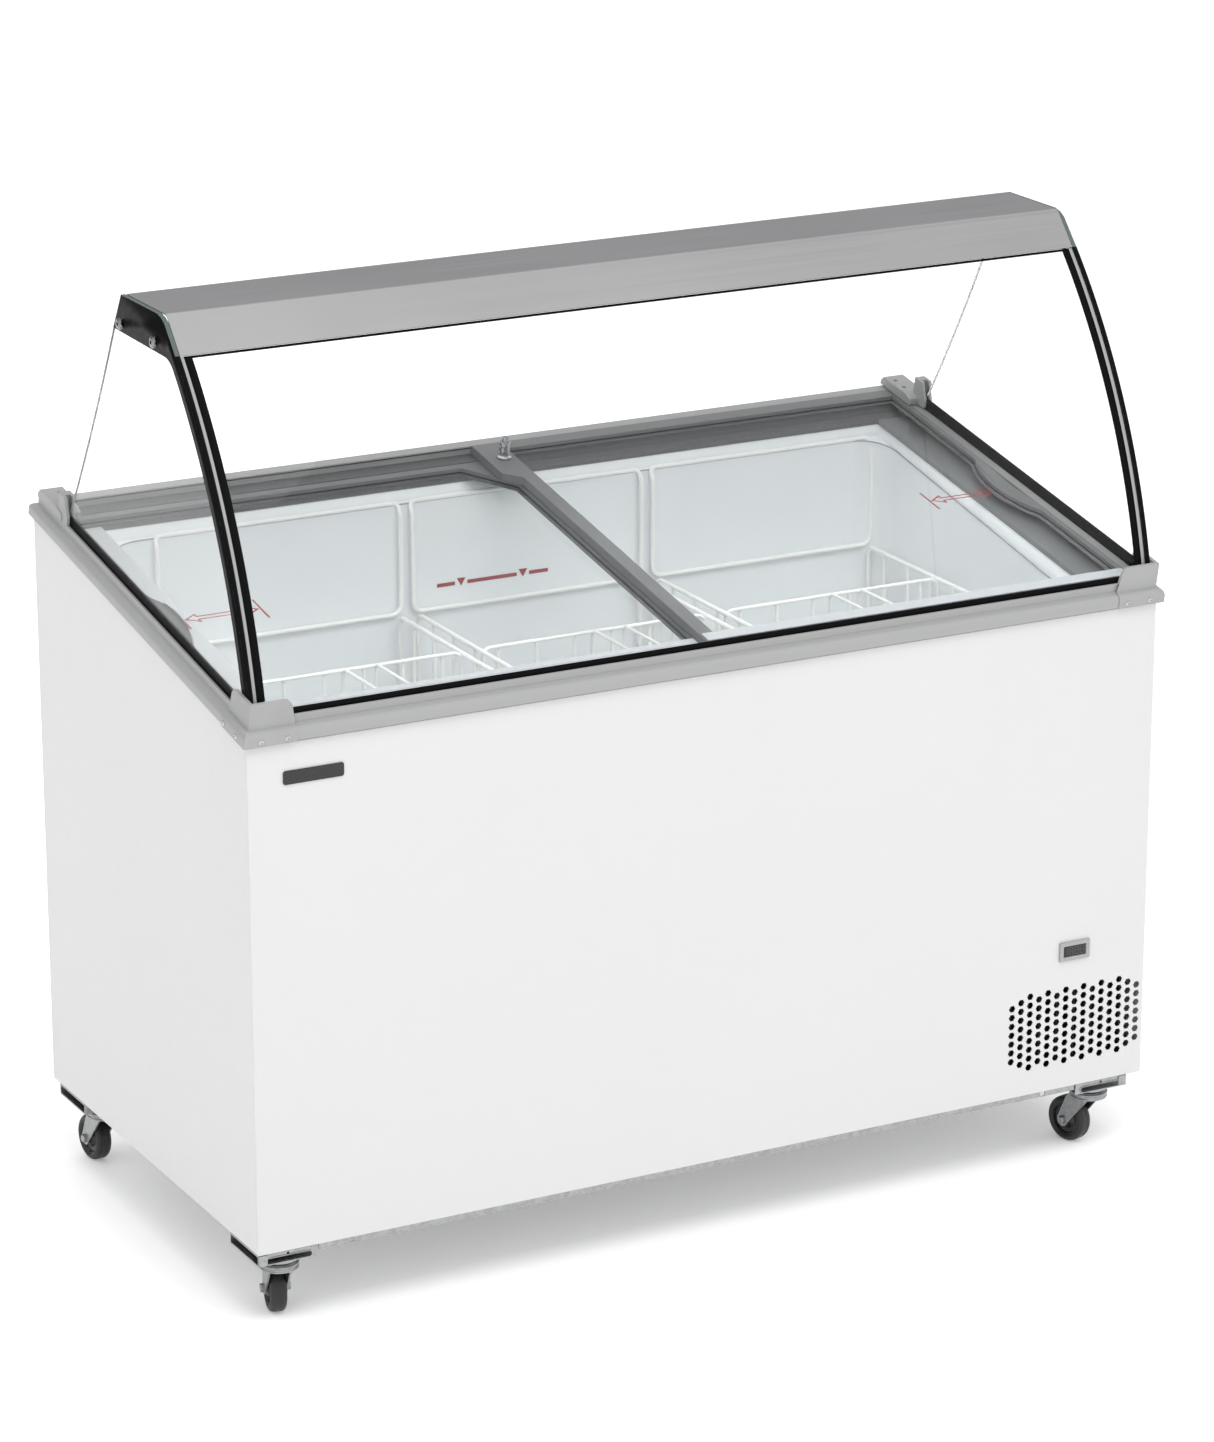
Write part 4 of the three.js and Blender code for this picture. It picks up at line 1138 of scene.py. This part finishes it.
def rim_screws():
    """Two screws in each face of the front corner caps, and two in each rear bracket."""
    radius = 0.0036
    height = 0.0016
    middle = 0.0095
    bracket_top = 0.0392
    bracket_inboard = 0.022
    out = RAIL_NOSE - 0.0001
    along_slope = (TOP.to_3x3() @ Vector((0, -1, 0))).normalized()
    upward = (TOP.to_3x3() @ Vector((0, 0, 1))).normalized()
    bm = bmesh.new()
    for sign in (-1, 1):
        for inboard in (0.0154, 0.0499):
            place = TOP @ Vector((sign * (HALF - inboard), -out, middle))
            add_screw(bm, place, along_slope, radius, height)
        for along in (0.0169, 0.0534):
            place = TOP @ Vector((sign * (HALF + out), along, middle))
            add_screw(bm, place, (sign, 0, 0), radius, height)
        for along in (0.618, 0.642):
            place = TOP @ Vector((sign * (HALF - bracket_inboard), along, bracket_top))
            add_screw(bm, place, upward, 0.0027, 0.0014)
    make_piece("rim_screws", bm, "cabinet", chrome)


def half_dish(x, across, half, depth, surface):
    """A shallow oval bowl, used to hollow a hand grip."""
    bm = bmesh.new()
    place = TOP @ Matrix.Translation((x, GRIP_ALONG, surface))
    matrix = place @ Matrix.Diagonal((across, half, depth, 1))
    steps = 10
    profile = [(0, -1)]
    profile += [
        (math.sin(math.pi / 2 * i / steps), -math.cos(math.pi / 2 * i / steps))
        for i in range(1, steps + 1)
    ]
    profile += [(1, 0.5), (0, 0.5)]
    add_lathe(bm, profile, matrix, 48)
    return bm


def lid_frames():
    """Both lid frames, each with its hand grip hollowed out."""
    left_grip = half_dish(-0.6140, across=0.0205, half=0.080, depth=0.0105, surface=0.0194)
    carve("left_lid_frame", "left_lid_moulding", left_grip, lid_moulded)
    right_grip = half_dish(0.6080, across=0.0145, half=0.070, depth=0.0045, surface=0.0324)
    carve("right_lid_frame", "right_lid_moulding", right_grip, lid_moulded)


def grip_bulge(x, bulge, steps=12):
    """The curved edge of a hand grip, along the slope, out from a lid's stile."""
    points = []
    for i in range(steps + 1):
        share = 2 * i / steps - 1
        swell = max(0.0, math.cos(share * math.pi / 2)) ** GRIP_SHAPE
        points.append((x + bulge * swell, GRIP_ALONG + GRIP_HALF * share))
    return points


def lid_seals():
    """Black beads that seal each lid's pane into its frame."""
    x0, x1, front, rear = -0.6143, -0.0122, 0.0630, 0.6080
    gusset_across, gusset_along = 0.0530, 0.0670
    left_pane = grip_bulge(x0, 0.0230)[::-1] + [
        (x0, front), (x1, front), (x1, rear - gusset_along), (x1 - gusset_across, rear), (x0, rear),
    ]
    x0, x1, front, rear = 0.0092, 0.6095, 0.0485, 0.6225
    right_pane = grip_bulge(x1, -0.0200) + [(x1, rear), (x0, rear), (x0, front), (x1, front)]
    for side, pane, height in (("left", left_pane, 0.0132), ("right", right_pane, 0.0262)):
        name = side + "_lid_seal"
        path = top_path(pane, height)
        bead(name, path, 0.0010, 0.002, side + "_lid", seal_rubber_and_gap_shade)


def lid_front_covers():
    """Pale snap-on covers along the front member of each lid's frame."""
    thick = 0.0006
    round_off = 0.0015
    covers = (
        ("left", (-0.6270, -0.0030, 0.0508, 0.0618), 0.0193),
        ("right", (-0.0080, 0.6150, 0.0282, 0.0472), 0.0323),
    )
    for side, edges, height in covers:
        bm = bmesh.new()
        shape = rounded_rectangle(*edges, round_off, 4)
        add_prism(bm, shape, thick, TOP @ Matrix.Translation((0, 0, height)))
        make_piece(side + "_lid_cover", bm, side + "_lid", trim_pale_across)


def lock_barrel():
    """The lock's turned barrel: a flange, two grooves and a lipped mouth for the plunger."""
    base = 0.0325
    bore = 0.0048
    profile = [
        (bore, 0), (0.0100, 0), (0.0100, 0.0030), (0.0084, 0.0042), (0.0075, 0.0052),
        (0.0075, 0.0086), (0.0062, 0.0092), (0.0062, 0.0108), (0.0075, 0.0114), (0.0075, 0.0172),
        (0.0066, 0.0177), (0.0066, 0.0189), (0.0075, 0.0194), (0.0075, 0.0234), (0.0070, 0.0240),
        (bore, 0.0240),
    ]
    place = TOP @ Matrix.Translation((LOCK_X, LOCK_ALONG, base))
    body = body_of_node("lock_barrel")
    piece = turned_piece("lock_barrel_turned", profile, place, 36, body, chrome)
    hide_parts("lock_barrel")


def rim_gap_shade_bead():
    """A thin black cord round the inside of the rim, just clear of the upper lid: a painted shadow
    for the dark gap between rim and lid.
    """
    inset = RAIL_IN + 0.0008
    side = HALF - inset
    height = 0.0285
    corners = rectangle(-side, side, inset, SLOPE_LENGTH - inset)
    path = top_path(corners, height)
    bead("rim_gap_shade_bead", path, 0.0008, 0.004, "cabinet", seal_rubber_and_gap_shade)


def arrow_outline(bm, matrix, length, line):
    """A double-headed arrow drawn as a thin line, with a bar across each end."""
    half = length / 2
    neck = half - 0.019
    shaft = 0.0052
    barb = 0.0125
    gap = 0.002
    bar_half = 0.026
    shape = [
        (-half, 0), (-neck, barb), (-neck, shaft), (neck, shaft), (neck, barb),
        (half, 0), (neck, -barb), (neck, -shaft), (-neck, -shaft), (-neck, -barb),
    ]
    inner = inset_outline(shape, line)
    outer_verts = [bm.verts.new(matrix @ Vector((x, y, 0))) for x, y in shape]
    inner_verts = [bm.verts.new(matrix @ Vector((x, y, 0))) for x, y in inner]
    bridge(bm, outer_verts, inner_verts)
    for x in (-half - gap, half + gap):
        bar = rectangle(x - line / 2, x + line / 2, -bar_half, bar_half)
        bm.faces.new([bm.verts.new(matrix @ Vector((a, b, 0))) for a, b in bar])


def inset_outline(shape, distance):
    """Moves each corner of a closed outline inward, square to its two edges."""
    area = sum(a[0] * b[1] - b[0] * a[1] for a, b in zip(shape, shape[1:] + shape[:1])) / 2
    turn = 1 if area > 0 else -1
    result = []
    for i, point in enumerate(shape):
        here = Vector(point)
        before = (here - Vector(shape[i - 1])).normalized()
        after = (Vector(shape[(i + 1) % len(shape)]) - here).normalized()
        square = Vector((-(before.y + after.y), before.x + after.x)) * turn
        result.append(here + square * distance / (1 + before.dot(after)))
    return result


def slide_arrows():
    """Slide marks printed under each lid's glass."""
    along = 0.320
    for side, x, height in (("left", -0.5350, 0.0088), ("right", 0.5400, 0.0218)):
        bm = bmesh.new()
        place = TOP @ Matrix.Translation((x, along, height))
        arrow_outline(bm, place, length=0.098, line=0.0026)
        name = side + "_slide_arrow"
        piece = make_piece(name, bm, side + "_lid", red_ink)
        thicken(piece, PRINT_THICK)


# ------------------------------------------------------------------ front plates


def display_digits():
    """The four unlit seven-segment figures of a display that is off."""
    low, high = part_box("thermometer_display")
    face = low.y - 0.00008
    matrix = Matrix.Translation((0, face, 0)) @ Matrix.Rotation(math.pi / 2, 4, "X")
    tall = 0.0100
    wide = 0.0058
    stroke = 0.0010
    middle = (low.z + high.z) / 2
    lit = {"1": "bc", "8": "abcdefg"}
    bm = bmesh.new()
    for figure, x in zip("1888", (-0.0140, -0.0050, 0.0035, 0.0120)):
        centre = (low.x + high.x) / 2 + x
        bars = {
            "a": (centre, middle + tall / 2, True),
            "g": (centre, middle, True),
            "d": (centre, middle - tall / 2, True),
            "f": (centre - wide / 2, middle + tall / 4, False),
            "b": (centre + wide / 2, middle + tall / 4, False),
            "e": (centre - wide / 2, middle - tall / 4, False),
            "c": (centre + wide / 2, middle - tall / 4, False),
        }
        for name in lit[figure]:
            add_segment(bm, bars[name], wide, tall, stroke, matrix)
    make_piece("thermometer_figures", bm, "cabinet", segment_grey)


def add_segment(bm, bar, wide, tall, stroke, matrix):
    """One bar of a seven-segment figure, pointed at both ends."""
    thick = 0.00006
    x, z, level = bar
    reach = (wide if level else tall / 2) / 2 - stroke * 0.6
    half = stroke / 2
    shape = [
        (-reach - half, 0), (-reach, -half), (reach, -half),
        (reach + half, 0), (reach, half), (-reach, half),
    ]
    points = [(x + a, z + b) if level else (x - b, z + a) for a, b in shape]
    add_prism(bm, points, thick, matrix)


def dial_marks():
    """Tick marks round the thermostat knob, and a pointer line on the knob."""
    low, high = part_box("thermostat_knob")
    centre = Vector(((low.x + high.x) / 2, 0, (low.z + high.z) / 2))
    recess = 0.026
    plate = 0.0016
    face = REAR_Y - recess + plate
    outward = Matrix.Rotation(-math.pi / 2, 4, "X")
    ticks = 11
    first = math.radians(210)
    sweep = math.radians(240)
    reach = 0.0205
    half_line = 0.0004
    thick = 0.0001
    dial = Matrix.Translation((centre.x, face, centre.z)) @ outward
    bm = bmesh.new()
    for i in range(ticks):
        angle = first - sweep * i / (ticks - 1)
        long = 0.0045 if i % 5 == 0 else 0.0028
        tick = rectangle(reach, reach + long, -half_line, half_line)
        add_prism(bm, tick, thick, dial @ Matrix.Rotation(angle, 4, "Z"))
    make_piece("thermostat_marks", bm, "cabinet", white_ink)
    bm = bmesh.new()
    knob_face = Matrix.Translation((centre.x, high.y, centre.z)) @ outward
    turn = Matrix.Rotation(math.radians(270), 4, "Z")
    pointer = rectangle(-0.0006, 0.0006, 0.004, 0.017)
    add_prism(bm, pointer, thick, knob_face @ turn)
    make_piece("thermostat_pointer", bm, "thermostat_knob", white_ink)


def panel_screws():
    """Screws that fix the rear panel."""
    side = 0.62
    rows = [(x, z) for x in (-side, -side / 2, 0.0, side / 2, side) for z in (0.125, 0.840)]
    columns = [(x, z) for z in (0.36, 0.60) for x in (-side, side)]
    bm = bmesh.new()
    for x, z in rows + columns:
        add_screw(bm, (x, REAR_Y, z), (0, 1, 0), 0.0042, 0.0020)
    make_piece("panel_screws", bm, "cabinet", galvanised)


# ------------------------------------------------------------------ casters


def tyre_profile():
    """A solid tyre's section: a rounded tread with a fine moulding line, and a bead each side."""
    shoulder = 0.0062
    corner = (WHEEL_RADIUS - shoulder, shoulder - WHEEL_HALF)
    half = [(RIM_EDGE[0], -RIM_EDGE[1]), (0.0240, 0.0004 - WHEEL_HALF)]
    half += [(p.x, p.y) for p in circle_arc(corner, shoulder, -math.pi / 2, 0, 7)]
    half += [(WHEEL_RADIUS, -0.0006)]
    line = [(WHEEL_RADIUS - 0.0003, 0)]
    return half + line + [(radius, -height) for radius, height in reversed(half)]


def hub_profile():
    """The wheel's core: a dished web between the rim and the bearing."""
    half = [
        RIM_EDGE, (0.0205, 0.0092), (0.0190, 0.0060), (0.0140, 0.0052),
        (0.0110, 0.0078), (0.0098, 0.0105), (0.0064, 0.0105), (0.0062, 0.0090), (0.0043, 0.0090),
    ]
    return half + [(radius, -height) for radius, height in reversed(half)]


def caster(place, x, y, yaw):
    """A wheel's tyre and hub, the fittings on its fork, and the mount above it."""
    matrix = Matrix.Translation((x, y, 0)) @ Matrix.Rotation(math.radians(yaw), 4, "Z")
    axle = matrix @ Matrix.Translation((0, TRAIL, WHEEL_RADIUS))
    wheel = axle @ Matrix.Rotation(math.pi / 2, 4, "Y")
    body = "wheel_" + place
    name = "caster_tyre_" + place
    tyre = turned_piece(name, tyre_profile(), wheel, 72, body, rubber)
    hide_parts("caster_wheel_" + place)
    name = "caster_hub_" + place
    plastic = SLOT_LOOKS["black_plastic"]
    turned_piece(name, hub_profile(), wheel, 48, body, plastic)
    caster_fittings(place, matrix)
    caster_mount(place, x, y)


def caster_fittings(place, matrix):
    """The axle bolt's head and nut, and the rings of the swivel's ball race."""
    out = 0.0145
    across = 0.0098
    thick = 0.0008
    washer = [(0, -0.0002), (0.0062, -0.0002), (0.0062, thick), (0, thick)]
    bm = bmesh.new()
    for sign, height in ((-1, 0.0036), (1, 0.0042)):
        spot = matrix @ Vector((sign * out, TRAIL, WHEEL_RADIUS))
        direction = matrix.to_3x3() @ Vector((sign, 0, 0))
        add_lathe(bm, washer, aim(spot, direction), 28)
        add_hexagon(bm, spot + direction * thick, direction, across, height)
    race = [
        (0.0225, 0.0722), (0.0242, 0.0730), (0.0246, 0.0742), (0.0236, 0.0756), (0.0228, 0.0766),
        (0.0242, 0.0778), (0.0250, 0.0792), (0.0246, 0.0806), (0.0225, 0.0812),
    ]
    add_lathe(bm, race, matrix, 48, closed=True)
    make_piece("caster_fittings_" + place, bm, "caster_" + place, galvanised)


def caster_mount(place, x, y):
    """The mount bracket with the small round hole above its slot, and its outer corner post."""
    node = "caster_mount_" + place
    low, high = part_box(node)
    hole_height = 0.1016
    bore, deep = 0.0019, 0.004
    hole = [(0, -deep), (bore, -deep), (bore, deep), (0, deep)]
    bm = bmesh.new()
    add_lathe(bm, hole, aim((x, low.y, hole_height), (0, 1, 0)), 20)
    carve(node, "caster_bracket_" + place, bm, galvanised)
    wide = 0.012
    end_gap = 0.0003
    post_x = low.x + end_gap if x < 0 else high.x - end_gap - wide
    proud = 0.0012
    clear = 0.0001
    post = rounded_rectangle(post_x, post_x + wide, low.y - proud, low.y - clear, 0.0005, 3)
    post_foot = 0.0907
    post_tall = 0.0136
    bm = bmesh.new()
    add_prism(bm, post, post_tall, Matrix.Translation((0, 0, post_foot)))
    lip = 0.0042
    half = 0.028 + lip
    middle = 0.0954
    slot = rounded_rectangle(x - half, x + half, middle - lip, middle + lip, lip * 0.98, 6)
    path = [(p.x, low.y - 0.0003, p.y) for p in slot]
    add_wire(bm, path, 0.0009, 0.001, closed=True, sides=8)
    make_piece("caster_post_" + place, bm, "cabinet", galvanised)


# ------------------------------------------------------------------ stage, lights and camera


def floor():
    """A broad flat floor, larger than any view of it."""
    reach = 60
    corners = rectangle(-reach, reach, -reach, reach)
    bm = bmesh.new()
    bm.faces.new([bm.verts.new((x, y, 0)) for x, y in corners])
    mesh = bmesh_to_mesh("floor", bm)
    mesh.materials.append(pale_floor())
    obj = link("floor", mesh)


def sky():
    """A soft white studio, dimmer low down at the back and high up on the right."""
    bright = (1.12, 1.12, 1.12, 1)
    low_back = (0.36, 0.36, 0.37, 1)
    high_right = (0.38, 0.38, 0.39, 1)
    world = bpy.data.worlds.new("studio")
    bpy.context.scene.world = world
    world.use_nodes = True
    tree = world.node_tree

    def ramp(value, start, end):
        inputs = {"Value": value, "From Min": start, "From Max": end}
        made = add_node(tree, "ShaderNodeMapRange", inputs, interpolation_type="SMOOTHSTEP")
        return made.outputs["Result"]

    def product(first, second):
        made = add_node(tree, "ShaderNodeMath", {0: first, 1: second}, operation="MULTIPLY")
        return made.outputs["Value"]

    def blend(share, first, second):
        inputs = {"Factor": share, "A": first, "B": second}
        return add_node(tree, "ShaderNodeMix", inputs, data_type="RGBA").outputs["Result"]

    direction = add_node(tree, "ShaderNodeTexCoord").outputs["Generated"]
    split = add_node(tree, "ShaderNodeSeparateXYZ", {"Vector": direction})
    x, y, z = split.outputs
    behind = product(ramp(y, 0.15, 0.75), ramp(z, 0.75, 0.45))
    above = product(ramp(x, 0.25, 0.65), ramp(z, 0.55, 0.80))
    colour = blend(above, blend(behind, bright, low_back), high_right)
    tree.links.new(colour, tree.nodes["Background"].inputs["Color"])


def softbox(name, location, target, size, power):
    light = bpy.data.lights.new(name, "AREA")
    light.shape = "RECTANGLE"
    light.size, light.size_y = size
    light.energy = power
    obj = link(name, light)
    obj.location = location
    obj.rotation_mode = "QUATERNION"
    obj.rotation_quaternion = (Vector(target) - Vector(location)).to_track_quat("-Z", "Y")
    obj.visible_glossy = False


def lights():
    """Soft lamps that model the edges and reach down into the well. None mirrors in the glass."""
    middle = (0, 0, 0.6)
    softbox("front_softbox", (1.6, -4.4, 2.6), middle, (3.0, 2.2), 8)
    softbox("top_softbox", (-0.3, -2.0, 3.6), middle, (2.6, 1.6), 48)
    softbox("back_softbox", (0.5, 4.4, 2.4), middle, (3.4, 2.4), 40)


def camera():
    data = bpy.data.cameras.new("camera")
    obj = link("camera", data)
    data.lens = 126.1
    data.sensor_width = 36
    data.clip_start = 0.1
    data.clip_end = 200
    yaw = math.radians(28.03)
    pitch = math.radians(17.95)
    obj.location = (-2.9350, -5.5365, 2.6315)
    obj.rotation_euler = (math.pi / 2 - pitch, 0, -yaw)
    bpy.context.scene.camera = obj


def colour_management():
    settings = bpy.context.scene.view_settings
    settings.view_transform = "Standard"
    settings.look = "None"


# ------------------------------------------------------------------ assembly

for subpart in frame["record"]["subparts"]:
    finish_node(subpart["node"], subpart["material_slot"])

liner()
liner_crease_shade_line()
load_line()
for place, centre in BASKETS.items():
    basket(place, centre)
    basket_divider(place, centre)
side_prints()
front_print()
hood_bolts()
rim_screws()
lid_frames()
lid_seals()
lid_front_covers()
lock_barrel()
rim_gap_shade_bead()
slide_arrows()
display_digits()
dial_marks()
panel_screws()
for place, (x, y, yaw) in CASTERS.items():
    caster(place, x, y, yaw)

floor()
sky()
lights()
camera()
colour_management()
